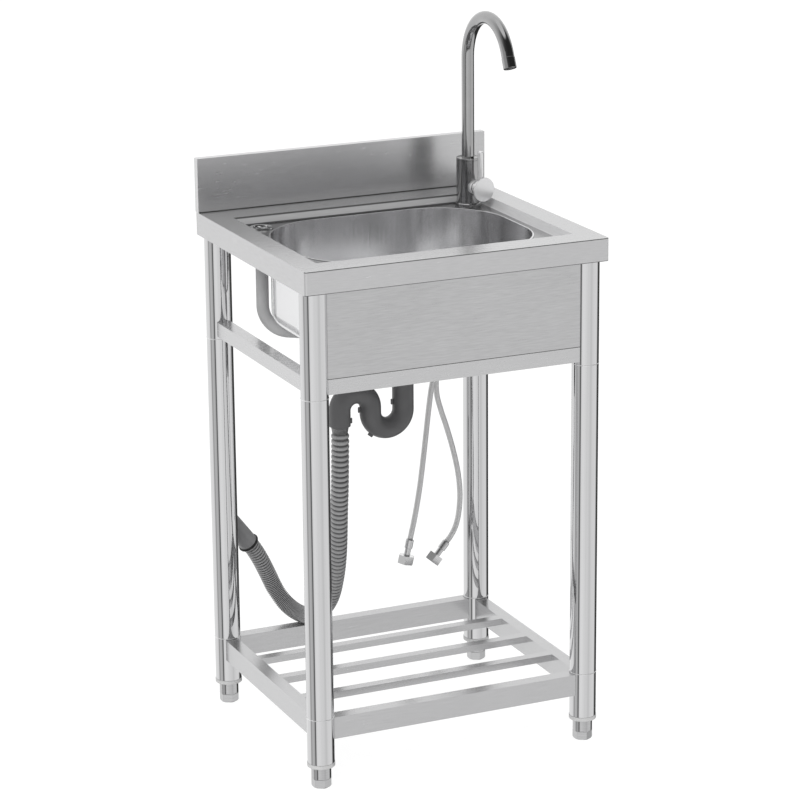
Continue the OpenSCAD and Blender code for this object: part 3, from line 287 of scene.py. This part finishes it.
spread = add_node(
    moulded,
    "ShaderNodeMapRange",
    {
        "Value": scuff, "From Min": 0.3, "From Max": 0.7,
        "To Min": given.outputs["Gloss Low"], "To Max": given.outputs["Gloss High"],
    },
)
moulded.links.new(spread.outputs[0], result.inputs[1])
moulded.links.new(peel, result.inputs[2])


def moulded_material(name, dark, light, gloss, peel_height=0.00004, refraction=1.48):
    """Moulded plastic between two shades, with its gloss given as lowest and highest roughness."""
    material, tree, shader = plain_material(name, Base_Color=light, IOR=refraction)
    effect = add_effect(tree, shader, moulded, dark, light)
    effect.inputs["Gloss Low"].default_value = gloss[0]
    effect.inputs["Gloss High"].default_value = gloss[1]
    bumped(tree, shader, effect.outputs["Height"], peel_height)
    return material


# Painted shade: the hose's grooves are painted near black, lighter towards the crests
groove_painted_shade = (0.018, 0.018, 0.019, 1)
hose_plastic = moulded_material(
    "grey_hose_plastic", (0.27, 0.27, 0.275, 1), (0.36, 0.36, 0.365, 1), (0.16, 0.26), refraction=2.0
)
tree, shader, colour = opened(hose_plastic)
crest = add_node(tree, "ShaderNodeAttribute", attribute_name="crest").outputs["Fac"]
# Painted shade in the grooves, set by the crest attribute
colour = mixed(tree, ranged(tree, crest, 0.0, 1.0), groove_painted_shade, colour)
tree.links.new(colour, shader.inputs["Base Color"])

drain_line = smooth_route(drain_route)
drain_length = line_runs(drain_line)[-1]
rib_outline = [(0, 0), (0, drain_diameter / 2)]
run = first_rib
while run < drain_length - last_rib_to_end:
    pitch = between(drain_pitches, run)
    for share, height in rib_shape:
        rib_outline.append((run + share * pitch, drain_diameter / 2 - drain_groove * (1 - height)))
    run += pitch
rib_outline += [(min(run, drain_length - least_plain_end), drain_diameter / 2 - drain_groove)]
rib_outline += [(drain_length, drain_diameter / 2 - drain_groove), (drain_length, 0)]
drain_hose = new_piece(
    "corrugated_drain_hose",
    hose_mesh(drain_line, rib_outline, drain_sides, (1, 0, 0)),
    hose_plastic,
    "stand",
)
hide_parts("drain_hose")

# Drain hose cuff
# A smooth grey sleeve moulded on the hose's free end, with a black rubber lip round the mouth that
# grips the ribs. The sleeve is the CAD part, and the lip is a rolled ring in its mouth.


def dress(material, *names):
    """Gives CAD nodes their material."""
    for name in names:
        nodes[name].material_slots[0].material = material


cuff_plastic = moulded_material(
    "grey_cuff_plastic", (0.20, 0.20, 0.205, 1), (0.29, 0.29, 0.295, 1), (0.28, 0.40)
)
dress(cuff_plastic, "drain_cuff")
black_rubber = moulded_material(
    "black_rubber", (0.008, 0.008, 0.008, 1), (0.022, 0.022, 0.022, 1), (0.45, 0.65), 0.00008
)
lip_ring_radius = 0.0157
lip_thickness = 0.0024
lip_from_mouth = 0.0014
lip_sides = 12
ring_steps = 48
mouth = Vector(drain_route[-2])
cuff_heading = (Vector(drain_route[-1]) - mouth).normalized()


def torus_mesh(ring_radius, thickness, sides):
    """A ring of round section about Z, spun from a circle."""
    bm = bmesh.new()
    circle = bmesh.ops.create_circle(bm, segments=sides, radius=thickness)["verts"]
    bmesh.ops.rotate(bm, verts=circle, matrix=Matrix.Rotation(math.pi / 2, 3, "X"))
    bmesh.ops.translate(bm, verts=circle, vec=(ring_radius, 0, 0))
    spin_round(bm, bm.verts[:] + bm.edges[:], ring_steps)
    return bm


def place_mesh(bm, at, heading):
    """Turns a mesh made about Z so that Z points along heading, and moves it to its place."""
    turn = Vector((0, 0, 1)).rotation_difference(Vector(heading)).to_matrix()
    bmesh.ops.rotate(bm, verts=bm.verts, matrix=turn)
    bmesh.ops.translate(bm, verts=bm.verts, vec=Vector(at))
    return bm


lip_place = mouth - lip_from_mouth * cuff_heading
lip = place_mesh(torus_mesh(lip_ring_radius, lip_thickness, lip_sides), lip_place, cuff_heading)
cuff_lip = new_piece("cuff_lip", lip, black_rubber, "stand")

# Supply hoses
# Two rubber hoses in a braid of fine stainless wire. Each comes out of the tap's shank, hangs
# behind the bowl and ends in a crimped ferrule and a union nut for the stop valve.
cold_route = [
    (0.174, 0.124, 0.814), (0.174, 0.124, 0.790), (0.174, 0.124, 0.764), (0.173, 0.123, 0.732),
    (0.170, 0.121, 0.698), (0.163, 0.118, 0.660), (0.150, 0.115, 0.622), (0.134, 0.112, 0.588),
    (0.118, 0.110, 0.555), (0.107, 0.110, 0.522), (0.101, 0.110, 0.486), (0.096, 0.110, 0.446),
    (0.090, 0.110, 0.398), (0.083, 0.110, 0.348), (0.074, 0.110, 0.300), (0.065, 0.110, 0.262),
]
hot_route = [
    (0.184, 0.124, 0.814), (0.184, 0.124, 0.790), (0.184, 0.124, 0.764), (0.184, 0.125, 0.732),
    (0.182, 0.127, 0.697), (0.177, 0.129, 0.660), (0.166, 0.130, 0.624), (0.150, 0.130, 0.592),
    (0.134, 0.130, 0.562), (0.124, 0.130, 0.530), (0.124, 0.130, 0.498), (0.131, 0.130, 0.470),
    (0.141, 0.130, 0.440), (0.152, 0.130, 0.402), (0.161, 0.130, 0.362), (0.165, 0.130, 0.324),
    (0.163, 0.130, 0.290), (0.157, 0.130, 0.266), (0.148, 0.130, 0.250), (0.140, 0.130, 0.241),
]
supply_diameter = 0.009
supply_sides = 24
supply_ring_step = 0.006
# Crossings of the braid per metre of hose and round it
braid_per_metre = 420
braid_round = 12
braid_relief = 0.0003
braid_dark = (0.50, 0.50, 0.505, 1)
braid_light = (0.98, 0.98, 0.98, 1)

braid_steel, tree, shader = plain_material(
    "braided_steel", Base_Color=(0.8, 0.8, 0.81, 1), Metallic=0.55, Roughness=0.3
)
uv = add_node(tree, "ShaderNodeUVMap", uv_map="UVMap").outputs[0]
along = add_node(tree, "ShaderNodeSeparateXYZ", {0: uv})
rise = maths(tree, "MULTIPLY", along.outputs[0], braid_per_metre)
turn = maths(tree, "MULTIPLY", along.outputs[1], braid_round)
one_way = maths(tree, "ADD", rise, turn)
other_way = maths(tree, "SUBTRACT", rise, turn)
weave = add_node(tree, "ShaderNodeCombineXYZ", {0: one_way, 1: other_way}).outputs[0]
squares = add_node(tree, "ShaderNodeTexChecker", {"Vector": weave, "Scale": 1.0}).outputs["Fac"]
wires = []
for way in (one_way, other_way):
    wave = maths(tree, "SINE", maths(tree, "MULTIPLY", way, math.pi))
    wires.append(maths(tree, "ABSOLUTE", wave))
strand = maths(tree, "MULTIPLY", *wires)
shade = maths(tree, "MULTIPLY_ADD", squares, 0.25, maths(tree, "MULTIPLY", strand, 0.75))
tree.links.new(mixed(tree, shade, braid_dark, braid_light), shader.inputs["Base Color"])
tree.links.new(ranged(tree, shade, 0.45, 0.22), shader.inputs["Roughness"])
bumped(tree, shader, shade, braid_relief)

for name, route, ends in (
    ("cold", cold_route, ["cold_tail", "cold_nut"]),
    ("hot", hot_route, ["hot_tail", "hot_nut"]),
):
    line = smooth_route(route)
    length = line_runs(line)[-1]
    rings = round(length / supply_ring_step)
    radius = supply_diameter / 2
    outline = [(0, 0)] + [(length * i / rings, radius) for i in range(rings + 1)] + [(length, 0)]
    bm = hose_mesh(line, outline, supply_sides, (0, 1, 0))
    hose = new_piece(f"{name}_braided_hose", bm, braid_steel, "stand")
    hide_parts(f"{name}_hose")


# Sheet steel
# The deck, the splashback, the front panel and the rails are stainless sheet with a fine straight
# grain from the brushing belt. The grain runs level along each sheet and along each rail.


def axes(tree, kind, name):
    """The x, y and z of a vector that an input node gives."""
    vector = add_node(tree, kind).outputs[name]
    return add_node(tree, "ShaderNodeSeparateXYZ", {0: vector}).outputs


def grey_ramp(tree, factor, rows):
    """The grey of a ramp at a factor, from its rows of (factor, grey)."""
    ramp = add_node(tree, "ShaderNodeValToRGB", {0: factor})
    stops = ramp.color_ramp.elements
    while len(stops) > 1:
        stops.remove(stops[-1])
    for i, (share, value) in enumerate(rows):
        stop = stops[0] if i == 0 else stops.new(share)
        stop.position = share
        stop.color = (value, value, value, 1)
    return ramp.outputs[0]


grain, given, result = effect_group(
    "steel_grain",
    [
        ("Stretch", "NodeSocketVector", (25, 600, 600)),
        ("Dark", "NodeSocketColor", (0.5, 0.5, 0.5, 1)),
        ("Light", "NodeSocketColor", (0.7, 0.7, 0.7, 1)),
        ("Gloss Low", "NodeSocketFloat", 0.2),
        ("Gloss High", "NodeSocketFloat", 0.35),
    ],
    [("Color", "NodeSocketColor"), ("Roughness", "NodeSocketFloat"), ("Height", "NodeSocketFloat")],
)
place = add_node(grain, "ShaderNodeTexCoord").outputs["Object"]
# On a side that faces left or right the grain is drawn out along y instead of x
x, y, z = add_node(grain, "ShaderNodeSeparateXYZ", {0: place}).outputs
swapped = add_node(grain, "ShaderNodeCombineXYZ", {0: y, 1: x, 2: z}).outputs[0]
facing = axes(grain, "ShaderNodeNewGeometry", "Normal")
sideways = maths(grain, "GREATER_THAN", maths(grain, "ABSOLUTE", facing[0]), 0.7)
laid = add_node(grain, "ShaderNodeMix", {0: sideways, 4: place, 5: swapped}, data_type="VECTOR").outputs[1]
drawn = add_node(
    grain, "ShaderNodeVectorMath", {0: laid, 1: given.outputs["Stretch"]}, operation="MULTIPLY"
).outputs[0]
streak = add_node(
    grain, "ShaderNodeTexNoise", {"Vector": drawn, "Scale": 1.0, "Detail": 2, "Roughness": 0.5}
).outputs[0]
cloud = add_node(grain, "ShaderNodeTexNoise", {"Vector": place, "Scale": 9, "Detail": 2}).outputs[0]
tone = maths(grain, "MULTIPLY_ADD", streak, 0.75, maths(grain, "MULTIPLY", cloud, 0.25))
tone = add_node(grain, "ShaderNodeMapRange", {"Value": tone, "From Min": 0.25, "From Max": 0.75}).outputs[0]
grain.links.new(mixed(grain, tone, given.outputs["Dark"], given.outputs["Light"]), result.inputs[0])
spread = add_node(
    grain,
    "ShaderNodeMapRange",
    {"Value": tone, "To Min": given.outputs["Gloss Low"], "To Max": given.outputs["Gloss High"]},
)
grain.links.new(spread.outputs[0], result.inputs[1])
grain.links.new(streak, result.inputs[2])
# How much more blue steel has than red and green
steel_blue = 1.01


def steel_material(name, shade, gloss, stretch, contrast=0.08, depth=0.00002, metal=1.0):
    """Stainless steel about as bright as shade, its grain drawn out by stretch.

    A satin sheet has a metal value below 1, because its fine scratches scatter light like a pale coat.
    """
    dark = shade * (1 - contrast)
    light = shade * (1 + contrast)
    plain = (shade, shade, shade * steel_blue, 1)
    material, tree, shader = plain_material(name, Base_Color=plain, Metallic=metal)
    effect = add_effect(
        tree, shader, grain, (dark, dark, dark * steel_blue, 1), (light, light, light * steel_blue, 1)
    )
    effect.inputs["Stretch"].default_value = stretch
    effect.inputs["Gloss Low"].default_value = gloss[0]
    effect.inputs["Gloss High"].default_value = gloss[1]
    if depth > 0:
        bumped(tree, shader, effect.outputs["Height"], depth)
    return material


level_grain = (45, 600, 600)
sheet_metal = 0.62
deck_steel = steel_material("brushed_deck_steel", 0.60, (0.22, 0.28), level_grain, 0.07, 0, sheet_metal)
dress(deck_steel, "deck")

# The press leaves the recess polished. A dark line of painted reflection runs along the fold at its top
# and foot, and the wall on the right has none but is painted lighter, as a painted reflection. Thin dark
# lines also mark the front fold, as a painted dark reflection, and its lower hem, as painted shade.
recess_middle = (-0.013, -0.010)
recess_half = (0.219, 0.180)
recess_floor = 0.8055
recess_depth = 0.0150
recess_edge = 0.8198
wall_foot = 0.8064
right_wall_x = 0.207
right_wall_reach = 0.012
# How much lighter the recess's right wall is painted, as a painted reflection
right_wall_painted_reflection = (1.35, 1.35, 1.35, 1)
# Painted shade on the hem below the first height, painted dark reflection on the front fold above the
# second, in this grey
hem_top = 0.7849
fold_foot = 0.8186
fold_and_hem_painted_shade = (0.22, 0.22, 0.22, 1)
# A face counts as facing forward or left where its normal is below these along y or x
faces_forward = -0.3
faces_left = -0.5
# The shader's metal value on the polished floor, and how much less it is on the walls
recess_metal = 0.95
wall_metal_drop = 0.65
right_wall_metal_drop = 0.42
# Painted reflection in the recess: its brightness against height
painted_recess_reflection_rows = [
    (0.8055, 0.62), (0.8062, 0.60), (0.8064, 0.16), (0.8080, 0.20), (0.8088, 0.95),
    (0.8168, 1.0), (0.8178, 0.22), (0.8198, 0.20), (0.8199, 1.0),
]
tree, shader, colour = opened(deck_steel)
spot = axes(tree, "ShaderNodeTexCoord", "Object")
facing = axes(tree, "ShaderNodeNewGeometry", "True Normal")
inside = [maths(tree, "COMPARE", spot[i], recess_middle[i], recess_half[i]) for i in (0, 1)]
inside = maths(tree, "MULTIPLY", *inside)
heights = {"Value": spot[2], "From Min": recess_floor, "From Max": recess_floor + recess_depth}
press = add_node(tree, "ShaderNodeMapRange", heights).outputs[0]
rows = [((height - recess_floor) / recess_depth, value) for height, value in painted_recess_reflection_rows]
painted_recess_reflection = grey_ramp(tree, press, rows)
pressed = maths(tree, "MULTIPLY", inside, maths(tree, "LESS_THAN", spot[2], recess_edge))
# Painted reflection: dark lines along the recess's fold at its top and foot
tone = mixed(tree, inside, (1, 1, 1, 1), painted_recess_reflection)
# Painted dark reflection on the front fold and painted shade on the hem, on forward faces outside the
# recess
front = maths(tree, "LESS_THAN", facing[1], faces_forward)
fold_painted_reflection = maths(tree, "MULTIPLY", maths(tree, "GREATER_THAN", spot[2], fold_foot), front)
hem_painted_shade = maths(tree, "MULTIPLY", maths(tree, "LESS_THAN", spot[2], hem_top), front)
line = maths(tree, "MULTIPLY", maths(tree, "MAXIMUM", fold_painted_reflection, hem_painted_shade), maths(tree, "SUBTRACT", 1, inside))
tone = mixed(tree, line, tone, fold_and_hem_painted_shade)
# Painted reflection: the recess's right wall is painted lighter
right_wall = maths(tree, "COMPARE", spot[0], right_wall_x, right_wall_reach)
right_wall = maths(tree, "MULTIPLY", maths(tree, "LESS_THAN", facing[0], faces_left), right_wall)
tone = mixed(tree, right_wall, tone, right_wall_painted_reflection)
shaded = add_node(
    tree, "ShaderNodeMix", {0: 1.0, 6: colour, 7: tone}, data_type="RGBA", blend_type="MULTIPLY"
)
tree.links.new(shaded.outputs[2], shader.inputs["Base Color"])
walls = maths(tree, "MULTIPLY", pressed, maths(tree, "GREATER_THAN", spot[2], wall_foot))
metal = ranged(tree, pressed, sheet_metal, recess_metal)
metal = maths(tree, "MULTIPLY_ADD", right_wall, -right_wall_metal_drop, metal)
metal = maths(tree, "MULTIPLY_ADD", walls, -wall_metal_drop, metal)
tree.links.new(metal, shader.inputs["Metallic"])

splash_steel = steel_material("brushed_splashback_steel", 0.67, (0.22, 0.28), level_grain, 0.04, 0, 0.88)
dress(splash_steel, "splashback")
# A near-black strip in the narrow gap under the splashback's folded foot, as painted shade
seam_size = (0.498, 0.0009, 0.0014)
seam_edge = 0.0002
seam_place = (0, 0.2107, 0.8207)
seam_gap_shade = moulded_material("painted_seam_shade", (0.02, 0.02, 0.02, 1), (0.04, 0.04, 0.04, 1), (0.5, 0.7))


def block_mesh(size, edge):
    """A block about the origin, with its edges rounded."""
    bm = bmesh.new()
    bmesh.ops.create_cube(bm, size=1)
    bmesh.ops.scale(bm, verts=bm.verts, vec=size)
    bmesh.ops.bevel(
        bm, geom=bm.edges[:], offset=edge, affect="EDGES", segments=2, profile=0.5, material=-1
    )
    return bm


bm = block_mesh(seam_size, seam_edge)
bmesh.ops.translate(bm, verts=bm.verts, vec=seam_place)
new_piece("splashback_seam_shade", bm, seam_gap_shade, "stand", smooth=False)
panel_steel = steel_material("brushed_panel_steel", 0.62, (0.26, 0.34), level_grain, 0.11, 0)
dress(panel_steel, "front_panel")
# A dark line of painted shade along the panel's foot, where it is folded over the rail
panel_foot_top = 0.6501
panel_foot_painted_shade = (0.13, 0.13, 0.13, 1)
tree, shader, colour = opened(panel_steel)
foot = maths(tree, "LESS_THAN", axes(tree, "ShaderNodeTexCoord", "Object")[2], panel_foot_top)
tree.links.new(mixed(tree, foot, colour, panel_foot_painted_shade), shader.inputs["Base Color"])
rail_grain = (30, 600, 600)
rail_steel = steel_material("brushed_rail_steel", 0.64, (0.20, 0.30), rail_grain, 0.04, 0, 0.70)
dress(rail_steel, *[f"top_rail_{side}" for side in ("front", "left", "right")])
shelf_steel = steel_material("brushed_shelf_steel", 0.60, (0.18, 0.28), rail_grain, 0.05, 0, 0.75)
dress(shelf_steel, "shelf_slats", *[f"shelf_rail_{side}" for side in ("front", "rear", "left", "right")])

# Bowl
# A deep-drawn stainless bowl with a rolled bead round its rim, welded into the recess. Its satin
# finish runs up and down the walls.
bowl_steel = steel_material("satin_bowl_steel", 0.84, (0.16, 0.24), (500, 500, 7), 0.04, 0.000002, 0.95)
dress(bowl_steel, "bowl")

# Legs
# Polished stainless tubes in three lengths, joined by inner sleeves, with white plastic inserts at
# their feet. The polish leaves only a faint grain along each tube.
leg_steel = steel_material("polished_leg_steel", 0.66, (0.03, 0.06), (420, 420, 5), 0.03, 0.000002)
leg_ends = ("fl", "fr", "rl", "rr")
dress(leg_steel, *[f"{part}_leg_{end}" for part in ("upper", "middle", "lower") for end in leg_ends])
# The beads' steel is painted lighter than the legs' steel, as a painted highlight on the seams
bead_highlight_steel = steel_material("bright_bead_steel", 0.88, (0.10, 0.18), (90, 90, 90), 0.04, 0.000006, 0.7)
leg_radius = 0.021
bead_thickness = 0.0007
bead_sides = 8
seam_heights = {"top": 0.620, "low": 0.1135}
for end in leg_ends:
    low_corner, high_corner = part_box(f"middle_leg_{end}")
    axis = (Vector(low_corner) + Vector(high_corner)) / 2
    for level, seam_z in seam_heights.items():
        bead = torus_mesh(leg_radius, bead_thickness, bead_sides)
        bead = place_mesh(bead, (axis.x, axis.y, seam_z), (0, 0, 1))
        new_piece(f"seam_bead_{end}_{level}", bead, bead_highlight_steel, "stand")
sleeve_steel = steel_material("plain_sleeve_steel", 0.50, (0.35, 0.45), (40, 40, 300))
dress(sleeve_steel, "leg_sleeves")
foot_steel = steel_material("turned_foot_steel", 0.50, (0.04, 0.10), (30, 30, 900), 0.06, 0.000008)
dress(foot_steel, *[f"foot_{end}" for end in leg_ends])
insert_plastic = moulded_material(
    "white_insert_plastic", (0.60, 0.60, 0.60, 1), (0.72, 0.72, 0.72, 1), (0.25, 0.40)
)
dress(insert_plastic, "foot_inserts")

# Waste, overflow and trap
# The strainer and its basket are pressed stainless steel, and their gasket is rubber. The nuts and
# the trap are dark grey plastic, the trap moulded in halves and glued, and the overflow pipe is a
# paler one.
waste_steel = steel_material("pressed_waste_steel", 0.60, (0.12, 0.22), (200, 200, 200), 0.05)
dress(waste_steel, "strainer_body", "strainer_basket")
dress(black_rubber, "strainer_gasket", "trap_seal")
trap_plastic = moulded_material(
    "dark_trap_plastic", (0.105, 0.105, 0.108, 1), (0.14, 0.14, 0.143, 1), (0.34, 0.48)
)
dress(trap_plastic, "trap_nut", "trap_u_bend", "trap_arch", "hose_adaptor")
# Lugs on the mould's parting line: place of each root in x and z, and its turn from +X in degrees
trap_plane_y = -0.012
lug_roots = [(-0.0165, 0.540, 180), (-0.0725, 0.5335, 180), (-0.0550, 0.4920, 232), (-0.0915, 0.518, 0)]
lug_size = (0.009, 0.0026, 0.009)
lug_edge = 0.0008
for number, (root_x, root_z, turn) in enumerate(lug_roots, 1):
    bm = block_mesh(lug_size, lug_edge)
    bmesh.ops.rotate(bm, verts=bm.verts, matrix=Matrix.Rotation(-math.radians(turn), 3, "Y"))
    bmesh.ops.translate(bm, verts=bm.verts, vec=(root_x, trap_plane_y, root_z))
    new_piece(f"trap_lug_{number}", bm, trap_plastic, "stand", smooth=False)
waste_plastic = moulded_material(
    "grey_waste_plastic", (0.11, 0.11, 0.115, 1), (0.16, 0.16, 0.165, 1), (0.38, 0.50)
)
dress(waste_plastic, "strainer_nut", "overflow_nut")
pipe_plastic = moulded_material(
    "pale_overflow_plastic", (0.42, 0.42, 0.425, 1), (0.50, 0.50, 0.505, 1), (0.34, 0.46)
)
dress(pipe_plastic, "overflow_pipe")

# Tap
# A cast body, a bent tube and a turned handle, all chromed and polished. The plating shows only
# the faintest smears. The overflow's ring and the hoses' nuts are chromed too.
plating, given, result = effect_group(
    "chrome_plating",
    [("Dark", "NodeSocketColor", (0.5, 0.5, 0.5, 1)), ("Light", "NodeSocketColor", (0.8, 0.8, 0.8, 1))],
    [("Color", "NodeSocketColor"), ("Roughness", "NodeSocketFloat"), ("Height", "NodeSocketFloat")],
)
place = add_node(plating, "ShaderNodeTexCoord").outputs["Object"]
smear = add_node(plating, "ShaderNodeTexNoise", {"Vector": place, "Scale": 60, "Detail": 4}).outputs[0]
wave = add_node(plating, "ShaderNodeTexNoise", {"Vector": place, "Scale": 25, "Detail": 1}).outputs[0]
plating.links.new(mixed(plating, smear, given.outputs["Dark"], given.outputs["Light"]), result.inputs[0])
plating.links.new(ranged(plating, smear, 0.08, 0.14), result.inputs[1])
plating.links.new(wave, result.inputs[2])


def chrome_material(name, dark, light):
    """Chrome between two shades of grey."""
    material, tree, shader = plain_material(name, Base_Color=(light, light, light, 1), Metallic=1.0)
    effect = add_effect(tree, shader, plating, (dark, dark, dark, 1), (light, light, light * steel_blue, 1))
    bumped(tree, shader, effect.outputs["Height"], 0.00004)
    return material


# The body's chrome is painted darker than the nuts', as a painted dark reflection
body_chrome_painted_shade = chrome_material("body_chrome_painted_shade", 0.37, 0.43)
dress(body_chrome_painted_shade, "tap_base", "tap_body", "tap_top_ring", "spout", "aerator")
# The nuts' and the overflow ring's chrome is painted lighter, as a painted highlight
bright_chrome_painted_highlight = chrome_material("bright_chrome_painted_highlight", 0.74, 0.82)
satin_chrome = steel_material("satin_handle_chrome", 0.84, (0.16, 0.24), (60, 60, 60), 0.03, 0.000002, 0.55)
dress(satin_chrome, "handle", "handle_lever")
# A sleeve round the stub that carries the handle, bright as a painted reflection
mixer_middle = Vector((0.179, 0.124, 0.8408))
mixer_turn = math.radians(10)
mixer_heading = Vector((math.sin(mixer_turn), -math.cos(mixer_turn), 0))
# Radius and distance from the tap's axis, round the sleeve's wall
sleeve_outline = [
    (0.0119, 0.0150), (0.0119, 0.0243), (0.0116, 0.0248), (0.0112, 0.0248), (0.0112, 0.0150),
]
bm = bmesh.new()
verts = [bm.verts.new((radius, 0, run)) for radius, run in sleeve_outline]
edges = [bm.edges.new(pair) for pair in zip(verts, verts[1:] + verts[:1])]
spin_round(bm, verts + edges, ring_steps)
new_piece("stub_sleeve_reflection", place_mesh(bm, mixer_middle, mixer_heading), satin_chrome, "stand")
dress(bright_chrome_painted_highlight, "overflow_grille", "cold_nut", "hot_nut")
dress(waste_steel, "tap_nut", "mixer_pin", "cold_tail", "hot_tail")
brass = chrome_material("turned_brass", 0.40, 0.50)
dress(brass, "mixer_stem")

# Floor and light
# A wide white floor runs out of sight. The sky is a soft white studio: bright behind and above,
# dimmer in front, with dark cards at the left and right that give polished tubes their streaks.
floor_radius = 14
floor_sides = 64
black = (0, 0, 0, 1)
floor_grey = (0.8, 0.8, 0.8, 1)
# What the camera sees of the floor: its own colour and its glow, which hides the far edge
seen_grey = (0.25, 0.25, 0.25, 1)
seen_glow = (0.86, 0.86, 0.86, 1)
floor_white, tree, shader = plain_material("white_floor", Base_Color=floor_grey, Roughness=0.9)
seen = add_node(tree, "ShaderNodeLightPath").outputs["Is Camera Ray"]
tree.links.new(mixed(tree, seen, black, seen_glow), shader.inputs["Emission Color"])
shader.inputs["Emission Strength"].default_value = 1.0
tree.links.new(mixed(tree, seen, floor_grey, seen_grey), shader.inputs["Base Color"])
bm = bmesh.new()
bmesh.ops.create_circle(bm, cap_ends=True, segments=floor_sides, radius=floor_radius)
floor_mesh = bpy.data.meshes.new("floor")
bm.to_mesh(floor_mesh)
bm.free()
floor_mesh.materials.append(floor_white)
floor = bpy.data.objects.new("floor", floor_mesh)
floor.visible_glossy = False
scene.collection.objects.link(floor)

# Brightness round the sky, as (turn from +X in degrees, brightness), at the horizon and in two bands
# above it
low_ring = [
    (-180, 0.66), (-170, 0.60), (-163, 0.50), (-158, 0.12), (-153, 0.10), (-148, 0.80),
    (-140, 1.0), (-125, 1.0), (-100, 0.90), (-82, 0.88), (-66, 0.76), (-50, 0.90),
    (-20, 0.94), (-5, 0.90), (3, 0.12), (20, 0.05), (60, 0.05), (67, 0.85),
    (80, 1.0), (140, 1.0), (154, 0.92), (164, 0.38), (172, 0.58), (180, 0.66),
]
high_ring = [
    (-180, 0.55), (-160, 0.60), (-130, 0.42), (-90, 0.36), (-62, 0.34), (-50, 0.05), (-8, 0.03),
    (4, 0.10), (20, 0.85), (60, 1.0), (110, 1.0), (140, 0.9), (165, 0.6), (180, 0.55),
]
upper_ring = [
    (-180, 0.30), (-150, 0.08), (-100, 0.04), (-50, 0.04), (-10, 0.05),
    (15, 0.55), (45, 1.0), (120, 1.0), (160, 0.6), (180, 0.30),
]
top_of_sky = (1.05, 1.05, 1.05, 1)
light_on_matt = (0.72, 0.72, 0.72, 1)
white = (1, 1, 1, 1)
studio = bpy.data.worlds.new("studio")
scene.world = studio
studio.use_nodes = True
tree = studio.node_tree
direction = axes(tree, "ShaderNodeTexCoord", "Generated")
around = maths(tree, "ARCTAN2", direction[1], direction[0])
around = maths(tree, "MULTIPLY_ADD", around, 1 / (2 * math.pi), 0.5)


def ring(rows):
    """The sky's brightness round the horizon."""
    return grey_ramp(tree, around, [(turn / 360 + 0.5, value) for turn, value in rows])


def above(low, high):
    """0 where the sky is below the height low and 1 above high, with a smooth change between."""
    heights = {"Value": direction[2], "From Min": low, "From Max": high}
    return add_node(tree, "ShaderNodeMapRange", heights, interpolation_type="SMOOTHSTEP").outputs[0]


sky = mixed(tree, above(-0.05, 0.10), ring(low_ring), ring(high_ring))
sky = mixed(tree, above(0.36, 0.46), sky, ring(upper_ring))
sky = mixed(tree, above(0.86, 0.94), sky, top_of_sky)
rays = add_node(tree, "ShaderNodeLightPath")
sky = mixed(tree, rays.outputs["Is Diffuse Ray"], sky, light_on_matt)
sky = mixed(tree, rays.outputs["Is Camera Ray"], sky, white)
tree.links.new(sky, tree.nodes["Background"].inputs["Color"])

# A soft lamp on the left in front gives the plastic parts and the hoses their shape
lamp_place = Vector((-2.4, -2.6, 3.0))
lamp_target = Vector((0, 0, 0.5))
lamp = bpy.data.objects.new("soft_lamp", bpy.data.lights.new("soft_lamp", "AREA"))
lamp.data.shape = "DISK"
lamp.data.size = 1.6
lamp.data.energy = 60
lamp_turn = (lamp_target - lamp_place).to_track_quat("-Z", "Y")
lamp.matrix_world = Matrix.Translation(lamp_place) @ lamp_turn.to_matrix().to_4x4()
lamp.visible_glossy = False
scene.collection.objects.link(lamp)

scene.view_settings.view_transform = "Standard"
